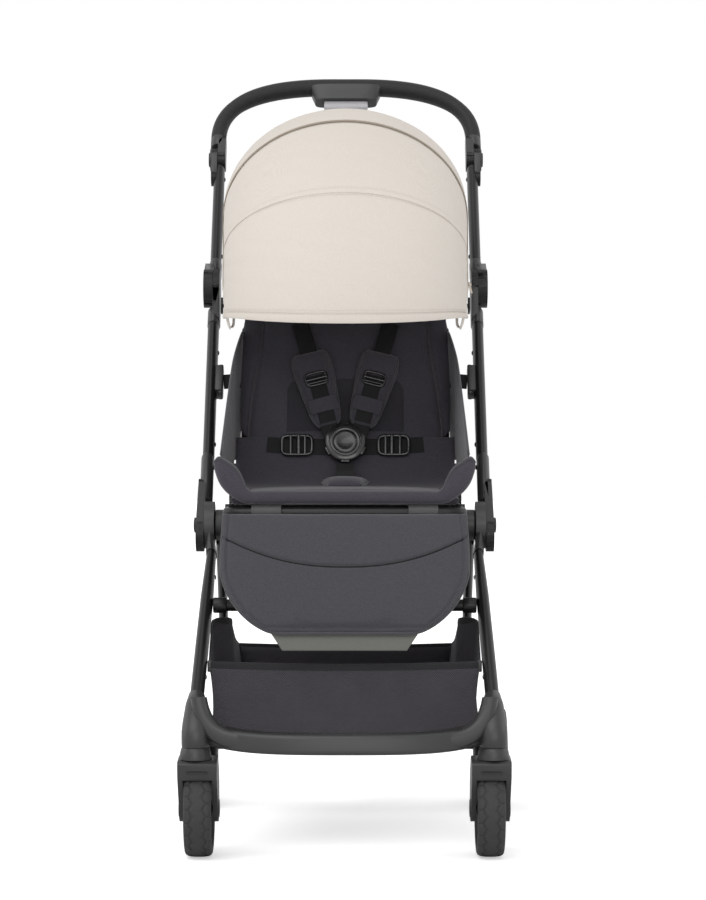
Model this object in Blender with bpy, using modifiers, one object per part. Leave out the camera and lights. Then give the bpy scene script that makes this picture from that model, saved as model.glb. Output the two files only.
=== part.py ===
"""Compact folding stroller, in metres, +Z up, +Y towards the pusher.

The drawing datum is the ground under the front axle: y runs back from it and z up.
The stroller empty shifts that datum so that the finished part is centred on the origin.
"""

import math

import bmesh
import bpy
from mathutils import Euler, Matrix, Vector

# Overall layout, side view (y back from the front axle, z up)
DATUM_TO_CENTRE = 0.3215
CLEARANCE = 0.0003
MAIN_PIVOT = Vector((0, 0.210, 0.4265))
ELBOW_PIVOT = Vector((0, 0.460, 0.7676))
HANDLE_PIVOT = Vector((0, 0.6318, 0.9745))
HANDLE_TOP = Vector((0, 0.710, 1.0955))
RECLINE_PIVOT = Vector((0, 0.352, 0.500))
CANOPY_PIVOT = Vector((0, 0.420, 0.740))
LEGREST_PIVOT = Vector((0, 0.100, 0.446))
RECLINE_LEAN = math.radians(19)
LEGREST_LEAN = math.radians(20)

# Wheels
FRONT_WHEEL_RADIUS = 0.063
FRONT_WHEEL_WIDTH = 0.036
REAR_WHEEL_RADIUS = 0.0725
REAR_WHEEL_WIDTH = 0.034
CASTER_TRACK = 0.189
CASTER_TRAIL = 0.035
STEM_X = CASTER_TRACK + 0.0035
FRONT_WHEEL_X = CASTER_TRACK + 0.0005
REAR_AXLE = Vector((0, 0.530, REAR_WHEEL_RADIUS))
REAR_CROSS = REAR_AXLE + Vector((0, -0.0181, 0.0200))
TYRE_DEPTH = 0.014
WHEEL_PIN_RADIUS = 0.0045
WHEEL_STEPS = 20

# Frame tubes
PUSH_TUBE_WIDTH = 0.0165
PUSH_TUBE_DEPTH = 0.029
PUSH_TUBE_SETBACK = 0.0165
ELBOW_RADIUS = 0.0285
HANDLE_HUB_RADIUS = 0.018
HUB_RADIUS = 0.0325
MAIN_PIN_RADIUS = 0.005
REAR_LEG_WIDTH = 0.0137
REAR_LEG_DEPTH = 0.027
AXLE_TUBE_RADIUS = 0.008
CROSS_TUBE_RADIUS = 0.008
GRIP_RADIUS = 0.0118
GRIP_TOP_RADIUS = 0.0135

# Side layers from the seat outwards: seat plate, rear leg, leg hub, push knuckle
SEAT_HALF_WIDTH = 0.158
SEAT_PLATE_X = (SEAT_HALF_WIDTH - 0.0055, SEAT_HALF_WIDTH + 0.0074)
REAR_LEG_X = SEAT_PLATE_X[1] + CLEARANCE + REAR_LEG_WIDTH / 2
REAR_WHEEL_X = REAR_LEG_X + 0.04995
REAR_FOOT_X = REAR_WHEEL_X - REAR_WHEEL_WIDTH / 2 - REAR_LEG_WIDTH / 2 - 0.0010
HUB_X = (REAR_LEG_X + REAR_LEG_WIDTH / 2 + CLEARANCE, REAR_LEG_X + REAR_LEG_WIDTH / 2 + 0.0140)
KNUCKLE_X = (HUB_X[1] + CLEARANCE, HUB_X[1] + 0.0113)
PUSH_TUBE_X = KNUCKLE_X[0] - 0.0007
ELBOW_INNER_X = (PUSH_TUBE_X - 0.0090, PUSH_TUBE_X + 0.0013)
ELBOW_OUTER_X = (ELBOW_INNER_X[1] + CLEARANCE, ELBOW_INNER_X[1] + 0.0143)
HANDLE_X = PUSH_TUBE_X + 0.0028

# Seat, backrest and harness
SEAT_TUBE_RADIUS = 0.007
BACK_WIRE_RADIUS = 0.006
BACK_PIN_RADIUS = 0.003
BACK_HALF_WIDTH = SEAT_HALF_WIDTH - 0.013
BACK_LENGTH = 0.405
SEAT_TOP = 0.4563
CUSHION_FRONT = 0.1163
CUSHION_THICKNESS = 0.010
CUSHION_CROWN = 0.010
BUCKLE_RADIUS = 0.029

# Canopy
CANOPY_RADIUS = 0.2865
CANOPY_HALF_WIDTH = SEAT_HALF_WIDTH + 0.0202
CANOPY_SIDE = 0.48
CANOPY_SIDE_SHARE = 0.18
CANOPY_FOOT = 0.034
CANOPY_COLUMNS = 18
CANOPY_NARROWING = 0.055
CANOPY_CLOTH = 0.0016
BOW_THICKNESS = 0.003
BOW_WIDTH = 0.006
BOW_PITCH = 0.0035
BOW_ANGLES = {"front": -96, "forward_middle": -59.5, "rear_middle": -28, "rear": 12}

# Basket
BASKET_WAIST = SEAT_HALF_WIDTH - 0.0005
BASKET_WALL = 0.0025

# Colours, linear values
PLASTIC = ((0.052, 0.052, 0.054), 0.45, 0.0)
FRAME_GREY = ((0.040, 0.041, 0.044), 0.35, 0.6)
RUBBER = ((0.018, 0.018, 0.019), 0.8, 0.0)
LEATHER = ((0.012, 0.012, 0.013), 0.6, 0.0)
SEAT_CLOTH = ((0.045, 0.042, 0.050), 0.95, 0.0)
LEG_CLOTH = ((0.065, 0.065, 0.074), 0.95, 0.0)
CANOPY_CLOTH_COLOUR = ((0.72, 0.665, 0.61), 0.95, 0.0)
MESH_CLOTH = ((0.045, 0.042, 0.050), 0.9, 0.0)
WEBBING = ((0.010, 0.010, 0.011), 0.9, 0.0)
BUCKLE = ((0.008, 0.008, 0.009), 0.2, 0.0)
BOARD = ((0.21, 0.22, 0.19), 0.7, 0.0)
TRIGGER_GREY = ((0.30, 0.29, 0.27), 0.6, 0.0)


def start_scene():
    """Empties the file and adds the two collections."""
    for old in list(bpy.data.objects):
        bpy.data.objects.remove(old, do_unlink=True)
    for name in ("stroller", "cutters"):
        made = bpy.data.collections.new(name)
        bpy.context.scene.collection.children.link(made)
    bpy.data.collections["cutters"].hide_render = True


def material(name, finish):
    colour, roughness, metallic = finish
    made = bpy.data.materials.get(name)
    if made is None:
        made = bpy.data.materials.new(name)
        made.use_nodes = True
        shader = made.node_tree.nodes["Principled BSDF"]
        shader.inputs["Base Color"].default_value = (*colour, 1)
        shader.inputs["Roughness"].default_value = roughness
        shader.inputs["Metallic"].default_value = metallic
    return made


def add_body(name, pivot, parent=None):
    """An empty on a joint's axis. What moves there is parented to it."""
    made = bpy.data.objects.new("body_" + name, None)
    bpy.data.collections["stroller"].objects.link(made)
    if parent is None:
        made.location = Vector((0, -DATUM_TO_CENTRE, 0))
    else:
        made.parent = BODIES[parent]
        made.location = pivot - PIVOTS[parent]
    BODIES[name] = made
    PIVOTS[name] = pivot


BODIES = {}
PIVOTS = {}


def link(obj, helper=False):
    bpy.data.collections["cutters" if helper else "stroller"].objects.link(obj)
    if helper:
        obj.hide_render = True
        obj.display_type = "WIRE"
    return obj


def place(obj, body):
    obj.parent = BODIES[body]
    obj.location = Vector(obj.location) - PIVOTS[body]


def finish_piece(obj, name, body, look, smooth=35):
    """Names a piece, gives it its material and hangs it, and what cuts it, on its body."""
    obj.name = name
    obj.data.name = name
    obj.data.materials.clear()
    obj.data.materials.append(material(*look))
    for modifier in obj.modifiers:
        if modifier.type == "BOOLEAN" and modifier.object.parent is None:
            place(modifier.object, body)
    place(obj, body)
    if obj.type == "MESH" and smooth:
        obj.data.shade_smooth()
        obj.data.set_sharp_from_angle(angle=math.radians(smooth))
    return obj


def mesh_object(name, fill, at=(0, 0, 0), turn=(0, 0, 0), helper=False):
    """An object whose bmesh is made by fill, at a place and turned about X, Y and Z."""
    mesh = bpy.data.meshes.new(name)
    shape = bmesh.new()
    fill(shape)
    shape.to_mesh(mesh)
    shape.free()
    obj = bpy.data.objects.new(name, mesh)
    obj.location = Vector(at)
    obj.rotation_euler = Euler(turn)
    return link(obj, helper)


def box(name, size, at, pitch=0.0, bevel=0.0, helper=False):
    def fill(shape):
        bmesh.ops.create_cube(shape, size=1, matrix=Matrix.Diagonal((*size, 1)))

    obj = mesh_object(name, fill, at, (pitch, 0, 0), helper)
    if bevel:
        add_bevel(obj, bevel)
    return obj


def add_bevel(obj, width, segments=1):
    bevel = obj.modifiers.new("rounded edges", "BEVEL")
    bevel.width = width
    bevel.segments = segments
    bevel.limit_method = "ANGLE"
    bevel.angle_limit = math.radians(40)


def disc(name, radius, x_range, centre, side=1, segments=28, bevel=0.0, helper=False):
    """A cylinder along X between two X values, on either side of the stroller."""
    low, high = sorted(side * x for x in x_range)

    def fill(shape):
        bmesh.ops.create_cone(
            shape, cap_ends=True, segments=segments, radius1=radius, radius2=radius,
            depth=high - low, matrix=Matrix.Rotation(math.pi / 2, 4, "Y"),
        )

    at = Vector((low / 2 + high / 2, centre.y, centre.z))
    obj = mesh_object(name, fill, at, helper=helper)
    if bevel:
        add_bevel(obj, bevel)
    return obj


def aim(start, end):
    """A turn that takes Z along start to end and keeps X as near to the axle line as it can."""
    along = (end - start).normalized()
    across = (Vector((1, 0, 0)) - along * along.x).normalized()
    return Matrix((across, along.cross(across), along)).transposed().to_euler()


def oval_bar(name, start, end, width, depth, segments=18, helper=False):
    """A straight oval tube, its width along X and its depth in the side view."""

    def fill(shape):
        bmesh.ops.create_cone(
            shape, cap_ends=True, segments=segments, radius1=0.5, radius2=0.5,
            depth=(end - start).length, matrix=Matrix.Diagonal((width, depth, 1, 1)),
        )

    return mesh_object(name, fill, (start + end) / 2, aim(start, end), helper)


def as_mesh(curve):
    """The curve object made a mesh with its caps welded."""
    bpy.context.view_layer.update()
    graph = bpy.context.evaluated_depsgraph_get()
    mesh = bpy.data.meshes.new_from_object(curve.evaluated_get(graph))
    shape = bmesh.new()
    shape.from_mesh(mesh)
    bmesh.ops.remove_doubles(shape, verts=shape.verts, dist=0.00001)
    bmesh.ops.recalc_face_normals(shape, faces=shape.faces)
    shape.to_mesh(mesh)
    shape.free()
    made = bpy.data.objects.new(curve.name, mesh)
    made.matrix_world = curve.matrix_world
    helper = curve.hide_render
    bpy.data.objects.remove(curve)
    return link(made, helper)


def wire(name, points, radius, closed=False, radii=None, resolution=2):
    """A round tube along points, as a curve object."""
    curve = bpy.data.curves.new(name, "CURVE")
    curve.dimensions = "3D"
    curve.bevel_depth = radius
    curve.bevel_resolution = resolution
    curve.use_fill_caps = True
    spline = curve.splines.new("POLY")
    spline.points.add(len(points) - 1)
    for k, point in enumerate(points):
        spline.points[k].co = (*point, 1)
        spline.points[k].radius = radii[k] if radii else 1
    spline.use_cyclic_u = closed
    return link(bpy.data.objects.new(name, curve))


def plate(name, outline, x_range, side=1, bevel=0.0, helper=False):
    """A flat piece in the side view: outline holds (y, z) pairs, x_range its two faces."""
    low, high = sorted(side * x for x in x_range)
    curve = bpy.data.curves.new(name, "CURVE")
    curve.dimensions = "2D"
    curve.fill_mode = "BOTH"
    curve.extrude = (high - low) / 2
    spline = curve.splines.new("POLY")
    spline.points.add(len(outline) - 1)
    for point, (y, z) in zip(spline.points, outline):
        point.co = (y, z, 0, 1)
    spline.use_cyclic_u = True
    obj = bpy.data.objects.new(name, curve)
    obj.matrix_world = Matrix((
        (0, 0, 1, (low + high) / 2), (1, 0, 0, 0), (0, 1, 0, 0), (0, 0, 0, 1),
    ))
    made = as_mesh(link(obj, helper))
    if bevel:
        add_bevel(made, bevel)
    return made


def link_outline(first, second, first_radius, second_radius, steps=10):
    """(y, z) pairs round two circles and the straight tangents between them."""
    a = Vector((first.y, first.z))
    b = Vector((second.y, second.z))
    along = math.atan2(b.y - a.y, b.x - a.x)
    spread = math.acos((first_radius - second_radius) / (b - a).length)
    pairs = []
    for centre, radius, start, end in (
        (b, second_radius, along - spread, along + spread),
        (a, first_radius, along + spread, along - spread + 2 * math.pi),
    ):
        for k in range(steps + 1):
            angle = start + (end - start) * k / steps
            pairs.append((centre.x + radius * math.cos(angle), centre.y + radius * math.sin(angle)))
    return pairs


def rounded(corners, radius, steps=4):
    """The corners of a flat or spatial outline, each replaced by a short arc."""
    made = []
    count = len(corners)
    for k in range(count):
        here = Vector(corners[k])
        before = (Vector(corners[k - 1]) - here).normalized() * radius
        after = (Vector(corners[(k + 1) % count]) - here).normalized() * radius
        for step in range(steps + 1):
            t = step / steps
            made.append(here + before * (1 - t) ** 2 + after * t ** 2)
    return made


def loft(name, rings, helper=False):
    """A closed skin through rings of equally many points, capped at both ends."""

    def fill(shape):
        made = [[shape.verts.new(point) for point in ring] for ring in rings]
        count = len(made[0])
        for low, high in zip(made, made[1:]):
            for k in range(count):
                nxt = (k + 1) % count
                shape.faces.new((low[k], low[nxt], high[nxt], high[k]))
        shape.faces.new(made[0][::-1])
        shape.faces.new(made[-1])
        bmesh.ops.recalc_face_normals(shape, faces=shape.faces)

    return mesh_object(name, fill, helper=helper)


def ring(centre, across, up, half_width, half_height, count=16, power=2.0):
    """Points round a rounded-square section: power 2 is an oval, and more is squarer."""
    points = []
    for k in range(count):
        angle = 2 * math.pi * (k + 0.5) / count
        c, s = math.cos(angle), math.sin(angle)
        u = math.copysign(abs(c) ** (2 / power), c) * half_width
        v = math.copysign(abs(s) ** (2 / power), s) * half_height
        points.append(Vector(centre) + Vector(across) * u + Vector(up) * v)
    return points


def turned(name, profile, centre, axis="X", steps=28, closed=False, helper=False):
    """A turned piece: profile holds (height, radius), from the high end down the outside."""

    def fill(shape):
        verts = []
        for height, radius in profile:
            point = (height, radius, 0) if axis == "X" else (radius, 0, height)
            verts.append(shape.verts.new(point))
        for first, second in zip(verts, verts[1:]):
            shape.edges.new((first, second))
        if closed:
            shape.edges.new((verts[-1], verts[0]))

    obj = mesh_object(name, fill, centre, helper=helper)
    screw = obj.modifiers.new("turn", "SCREW")
    screw.axis = axis
    screw.steps = steps
    screw.render_steps = steps
    screw.use_merge_vertices = True
    screw.merge_threshold = 0.00001
    return obj


def boolean(obj, other, operation="UNION"):
    """Joins or cuts with another object, which becomes a hidden helper."""
    for collection in other.users_collection:
        collection.objects.unlink(other)
    link(other, helper=True)
    modifier = obj.modifiers.new(operation.lower(), "BOOLEAN")
    modifier.operation = operation
    modifier.object = other
    modifier.solver = "EXACT"
    return obj


def fuse(obj, *others):
    for other in others:
        boolean(obj, other)
    return obj


def drill(obj, radius, x_range, centre, side=1, segments=12):
    """A hole along X whose flats lie on the given radius, so that a pin of that size turns in it."""
    outer = radius / math.cos(math.pi / segments)
    hole = disc("drill", outer, x_range, centre, side, segments, helper=True)
    return boolean(obj, hole, "DIFFERENCE")


def pad(name, at, pitch, length, half_width, thickness, crown, channels=(), columns=12, rows=12,
        pull=0.0, channel_depth=0.6, squareness=2.6):
    """A stuffed panel: flat back, crowned front, sides drawn in between its corners.

    half_width is a function of the share of the length from its lower end. Channels are
    shares of the length at which a sewn line pulls the front down.
    """

    def height(u, v):
        dome = (1 - abs(u) ** squareness) * (1 - abs(2 * v - 1) ** squareness)
        sewn = sum(math.exp(-((v - line) * length / 0.008) ** 2) for line in channels)
        return thickness + crown * math.sqrt(max(dome, 0)) * (1 - channel_depth * min(sewn, 1))

    def fill(shape):
        bmesh.ops.create_grid(shape, x_segments=columns, y_segments=rows, size=1)
        shape.verts.ensure_lookup_table()
        front = list(shape.verts)
        made = bmesh.ops.extrude_face_region(shape, geom=shape.faces[:])
        back = [item for item in made["geom"] if isinstance(item, bmesh.types.BMVert)]
        for group, is_front in ((front, False), (back, True)):
            for vert in group:
                u = vert.co.x
                v = (vert.co.y + 1) / 2
                reach = half_width(v) * (1 - pull * math.sin(math.pi * v))
                vert.co = Vector((u * reach, v * length, height(u, v) if is_front else 0.0))
        bmesh.ops.recalc_face_normals(shape, faces=shape.faces)

    return mesh_object(name, fill, at, (pitch, 0, 0))


def both_sides():
    return (("left", -1), ("right", 1))


# Directions in the side view
PUSH_ALONG = (ELBOW_PIVOT - MAIN_PIVOT).normalized()
PUSH_BEHIND = Vector((0, PUSH_ALONG.z, -PUSH_ALONG.y))
BACK_ALONG = Vector((0, math.sin(RECLINE_LEAN), math.cos(RECLINE_LEAN)))
BACK_FRONT = Vector((0, -math.cos(RECLINE_LEAN), math.sin(RECLINE_LEAN)))
BACK_PITCH = math.pi / 2 - RECLINE_LEAN
LEGREST_UP = Vector((0, math.sin(LEGREST_LEAN), math.cos(LEGREST_LEAN)))
LEGREST_FRONT = Vector((0, -math.cos(LEGREST_LEAN), math.sin(LEGREST_LEAN)))
LEGREST_PITCH = math.pi / 2 - LEGREST_LEAN
STEM = Vector((0, -CASTER_TRAIL, 0.1466))


def at_x(point, x):
    return Vector((x, point.y, point.z))


# Front frame
LEG_TOP = Vector((HUB_X[0] + 0.0029, 0.1745, 0.386))
LEG_BOTTOM = Vector((STEM_X + 0.0010, 0.0150, 0.206))
LEG_WIDTHS = ((0.0, 0.0130, 0.027), (0.3, 0.0172, 0.0285), (1.0, 0.0183, 0.0285))


def leg_x(height):
    """How far out the leg's centre line lies at a height."""
    share = (LEG_TOP.z - height) / (LEG_TOP.z - LEG_BOTTOM.z)
    return LEG_TOP.x + (LEG_BOTTOM.x - LEG_TOP.x) * share


def leg_direction(side):
    return (at_x(LEG_BOTTOM, side * LEG_BOTTOM.x) - at_x(LEG_TOP, side * LEG_TOP.x)).normalized()


def front_leg(name, side):
    """Oval leg tube, a little wider at the stem housing than at the hub."""
    top = at_x(LEG_TOP, side * LEG_TOP.x)
    bottom = at_x(LEG_BOTTOM, side * LEG_BOTTOM.x)
    along = leg_direction(side)
    across = (Vector((1, 0, 0)) - along * along.x).normalized()
    up = along.cross(across)
    rings = []
    for share, width, depth in LEG_WIDTHS:
        rings.append(ring(top.lerp(bottom, share), across, up, width / 2, depth / 2, 18))
    leg = loft(name + "_front_leg", rings)
    finish_piece(leg, name + "_front_leg", "front_frame", ("frame_grey", FRAME_GREY))


def leg_hub(name, side):
    """Moulded disc that carries the main pivot pin, with a collar for the leg."""
    hub = disc(name + "_leg_hub", HUB_RADIUS, HUB_X, MAIN_PIVOT, side, 24)
    along = leg_direction(side)
    across = (Vector((1, 0, 0)) - along * along.x).normalized()
    up = along.cross(across)
    top = at_x(LEG_TOP, side * LEG_TOP.x) - along * CLEARANCE
    start = Vector((side * (HUB_X[0] + 0.0065), MAIN_PIVOT.y - 0.012, MAIN_PIVOT.z - 0.012))
    collar = loft("collar", [
        ring(start, across, up, 0.0062, 0.018, 14),
        ring(top, across, up, 0.0075, 0.0155, 14),
    ])
    outside = KNUCKLE_X[1]
    pin = disc("pin", MAIN_PIN_RADIUS, (SEAT_PLATE_X[0] - 0.0025, outside + 0.0013), MAIN_PIVOT, side, 10)
    head = disc("head", 0.0105, (outside + 0.0004, outside + 0.0029), MAIN_PIVOT, side, 14, bevel=0.0008)
    fuse(hub, collar, pin, head)
    finish_piece(hub, name + "_leg_hub", "front_frame", ("plastic", PLASTIC))


BAR_BOTTOM = 0.1397
BAR_HEIGHT = 0.0270
BAR_DEPTH = 0.030
BAR_BOW = 0.045
BAR_HALF = STEM_X - 0.0165


def front_bar():
    """Bowed moulding between the casters, with a stem housing at each end."""
    rings = []
    stations = 14
    for k in range(stations + 1):
        share = 2 * k / stations - 1
        x = share * BAR_HALF
        bow = BAR_BOW * (1 - abs(share) ** 2.6)
        lift = 0.010 * abs(share) ** 5
        centre = Vector((x, STEM.y - bow + BAR_DEPTH / 2 - 0.001, BAR_BOTTOM + BAR_HEIGHT / 2 + lift))
        slope = 2.6 * BAR_BOW * math.copysign(abs(share) ** 1.6, share) / BAR_HALF
        across = Vector((-slope, 1, 0)).normalized()
        up = Vector((0, 0.12, 1)).normalized()
        rings.append(ring(centre, across, up, BAR_DEPTH / 2, BAR_HEIGHT / 2, 12, 4.0))
    bar = loft("front_bar", rings)
    parts = []
    for name, side in both_sides():
        foot = at_x(STEM, side * STEM_X)
        top = at_x(LEG_BOTTOM, side * LEG_BOTTOM.x)
        along = leg_direction(side)
        across = (Vector((1, 0, 0)) - along * along.x).normalized()
        up = along.cross(across)
        x_axis = Vector((1, 0, 0))
        y_axis = Vector((0, -1, 0))
        housing = loft("housing", [
            ring(foot, x_axis, y_axis, 0.0180, 0.0200, 14),
            ring(foot + Vector((0, 0, 0.020)), x_axis, y_axis, 0.0182, 0.0215, 14, 2.3),
            ring(
                foot + Vector((0, 0.010, 0.040)), x_axis, -up.cross(x_axis).cross(x_axis),
                0.0160, 0.0215, 14, 2.2,
            ),
            ring(top + along * CLEARANCE, across, -up, 0.0112, 0.0170, 14),
        ])
        parts.append(housing)
    fuse(bar, *parts)
    for name, side in both_sides():
        bore = turned(
            "stem_bore", [(0.052, 0), (0.052, 0.0058), (-0.01, 0.0058), (-0.01, 0)],
            at_x(STEM, side * STEM_X), "Z", 12, helper=True,
        )
        boolean(bar, bore, "DIFFERENCE")
    finish_piece(bar, "front_bar", "front_frame", ("plastic", PLASTIC))


CROSS_TUBE = Vector((0, 0.1165, 0.3210))


def cross_tube():
    reach = leg_x(CROSS_TUBE.z) - 0.0092
    tube = disc("front_cross_tube", CROSS_TUBE_RADIUS, (-reach, reach), CROSS_TUBE, 1, 20)
    finish_piece(tube, "front_cross_tube", "front_frame", ("frame_grey", FRAME_GREY))


def basket():
    """Open-topped shell of netting, narrower behind, where the rear legs swing past."""
    half_width = leg_x(0.2435) - 0.0112
    bottom = ((0.056, 0.152, half_width - 0.004), (0.140, 0.143, half_width - 0.006),
              (0.166, 0.142, BASKET_WAIST - 0.004), (0.290, 0.140, BASKET_WAIST - 0.004),
              (0.412, 0.146, BASKET_WAIST - 0.004))
    top = ((0.050, 0.250, half_width), (0.140, 0.300, half_width),
           (0.164, 0.303, BASKET_WAIST), (0.290, 0.270, BASKET_WAIST), (0.430, 0.245, BASKET_WAIST))
    levels = 4
    columns = 8

    def fill(shape):
        rows = []
        for (y0, z0, w0), (y1, z1, w1) in zip(bottom, top):
            row = []
            for k in range(levels + 1):
                t = k / levels
                belly = 0.005 * math.sin(math.pi * t)
                row.append((y0 + (y1 - y0) * t, z0 + (z1 - z0) * t, w0 + (w1 - w0) * t - belly * 0.6))
            rows.append(row)

        def vert(y, z, x):
            return shape.verts.new((x, y, z))

        left = [[vert(y, z, -w) for y, z, w in row] for row in rows]
        right = [[vert(y, z, w) for y, z, w in row] for row in rows]
        grid_faces = []
        for side in (left, right):
            for a, b in zip(side, side[1:]):
                for k in range(levels):
                    grid_faces.append((a[k], a[k + 1], b[k + 1], b[k]))

        def across(low, high, k_range):
            """Rows of points from the left wall to the right wall at one station."""
            made = []
            for k in k_range:
                a, b = low[k].co, high[k].co
                row = [low[k]]
                for c in range(1, columns):
                    t = c / columns
                    sag = 0.004 * math.sin(math.pi * t)
                    point = a.lerp(b, t)
                    lower = sag if k == levels and low is left[0] else 0
                    row.append(shape.verts.new((point.x, point.y, point.z - lower - (sag if k == 0 else 0))))
                row.append(high[k])
                made.append(row)
            return made

        front = across(left[0], right[0], range(levels + 1))
        rear = across(left[-1], right[-1], range(levels + 1))
        floor = [front[0]]
        for a, b in zip(left[1:-1], right[1:-1]):
            floor.append(across(a, b, (0,))[0])
        floor.append(rear[0])
        for sheet in (front, rear, floor):
            for a, b in zip(sheet, sheet[1:]):
                for k in range(columns):
                    grid_faces.append((a[k], a[k + 1], b[k + 1], b[k]))
        for corners in grid_faces:
            shape.faces.new(corners)
        bmesh.ops.recalc_face_normals(shape, faces=shape.faces)

    shell = mesh_object("basket", fill)
    wall = shell.modifiers.new("netting", "SOLIDIFY")
    wall.thickness = BASKET_WALL
    wall.offset = -1
    wall.use_even_offset = True
    for name, side in both_sides():
        tab = box("hang_tab", (0.0078, 0.016, 0.016), (side * (half_width - 0.0025), 0.0545, 0.2435))
        boolean(shell, tab)
    finish_piece(shell, "basket", "front_frame", ("mesh_cloth", MESH_CLOTH), smooth=50)


SEAT_FRONT_Y = LEGREST_PIVOT.y
SEAT_REAR_Y = 0.342
SEAT_Z = 0.449


def seat_frame():
    """Tube loop under the cushion, riveted to the main pivots and carrying the backrest hinges."""
    corners = [
        Vector((-SEAT_HALF_WIDTH, SEAT_FRONT_Y, LEGREST_PIVOT.z)),
        Vector((SEAT_HALF_WIDTH, SEAT_FRONT_Y, LEGREST_PIVOT.z)),
        Vector((SEAT_HALF_WIDTH, SEAT_REAR_Y, SEAT_Z)),
        Vector((-SEAT_HALF_WIDTH, SEAT_REAR_Y, SEAT_Z)),
    ]
    loop = as_mesh(wire("seat_frame", rounded(corners, 0.020, 3), SEAT_TUBE_RADIUS, closed=True))
    for name, side in both_sides():
        rise = Vector((0, MAIN_PIVOT.y, SEAT_Z))
        hinge_foot = Vector((0, 0.333, SEAT_Z - 0.0005))
        hinge_outline = link_outline(RECLINE_PIVOT, hinge_foot, 0.011, 0.0062, 8)
        fuse(
            loop,
            plate("pivot_plate", link_outline(MAIN_PIVOT, rise, 0.0145, 0.0065, 8), SEAT_PLATE_X, side),
            plate("hinge_plate", hinge_outline, SEAT_PLATE_X, side),
        )
        through = (SEAT_PLATE_X[0] - 0.0045, SEAT_PLATE_X[1] + 0.0046)
        drill(loop, MAIN_PIN_RADIUS + CLEARANCE, through, MAIN_PIVOT, side)
        drill(loop, BACK_PIN_RADIUS + CLEARANCE, through, RECLINE_PIVOT, side)
    finish_piece(loop, "seat_frame", "front_frame", ("frame_grey", FRAME_GREY))


LIP_THICKNESS = 0.0093
LIP_STATIONS = (
    # share of the half width, upper edge, lower edge
    (0.0, 0.4760, 0.4575), (0.36, 0.4758, 0.4575), (0.66, 0.4756, 0.4575), (0.75, 0.4780, 0.4575),
    (0.80, 0.4950, 0.4590), (0.86, 0.5120, 0.4640), (0.92, 0.5200, 0.4715), (0.965, 0.5220, 0.4800),
    (1.0, 0.5130, 0.4960),
)


def back_skirt():
    """Cloth from behind the seat's rear tube up behind the backrest's hinge line."""
    path = [(0.3502, 0.4470), (0.3512, 0.4560), (0.3580, 0.4740), (0.3700, 0.4925), (0.3860, 0.5100)]

    def fill(shape):
        low = [shape.verts.new((-0.150, y, z)) for y, z in path]
        high = [shape.verts.new((0.150, y, z)) for y, z in path]
        for k in range(len(path) - 1):
            shape.faces.new((low[k], high[k], high[k + 1], low[k + 1]))
        bmesh.ops.recalc_face_normals(shape, faces=shape.faces)

    cloth = mesh_object("back_skirt", fill)
    wall = cloth.modifiers.new("cloth", "SOLIDIFY")
    wall.thickness = 0.0014
    wall.offset = 0
    finish_piece(cloth, "back_skirt", "front_frame", ("seat_cloth", SEAT_CLOTH))


def seat_soft():
    """Cushion, front lip with its raised wings, crotch pad and crotch strap."""
    cushion = pad(
        "seat_cushion", (0, CUSHION_FRONT, SEAT_TOP), 0.0, 0.186, lambda v: SEAT_HALF_WIDTH,
        CUSHION_THICKNESS, CUSHION_CROWN, channels=(0.36, 0.69), pull=0.015, columns=12, rows=13,
    )
    finish_piece(cushion, "seat_cushion", "front_frame", ("seat_cloth", SEAT_CLOTH))
    rings = []
    half = SEAT_HALF_WIDTH + 0.0176
    sides = [(-share, top, low) for share, top, low in LIP_STATIONS[:0:-1]]
    for share, top, low in sides + list(LIP_STATIONS):
        thick = LIP_THICKNESS * (1.0 if abs(share) < 0.98 else 0.6)
        centre = Vector((half * share, CUSHION_FRONT - CLEARANCE - LIP_THICKNESS, (top + low) / 2))
        rings.append(ring(centre, (0, 1, 0), (0, 0, 1), thick, (top - low) / 2, 12, 2.4))
    lip = loft("front_lip", rings)
    finish_piece(lip, "front_lip", "front_frame", ("seat_cloth", SEAT_CLOTH))
    crotch = pad(
        "crotch_pad", (0, 0.205, SEAT_TOP + CUSHION_THICKNESS + CUSHION_CROWN + CLEARANCE), 0.12,
        0.050, lambda v: 0.024 + 0.010 * v, 0.003, 0.010, columns=8, rows=8,
    )
    finish_piece(crotch, "crotch_pad", "front_frame", ("seat_cloth", SEAT_CLOTH))
    strap_points = [
        Vector((0, 0.2552, 0.4842)), Vector((0, 0.276, 0.4915)), Vector((0, 0.299, 0.5005)),
        Vector((0, 0.3170, 0.5100)),
    ]
    rings = []
    for k, point in enumerate(strap_points):
        rings.append(ring(point, (1, 0, 0), (0, -0.4, 0.9), 0.0130 - 0.002 * k, 0.0012, 12, 6.0))
    strap = loft("crotch_strap", rings)
    finish_piece(strap, "crotch_strap", "front_frame", ("webbing", WEBBING))


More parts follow.
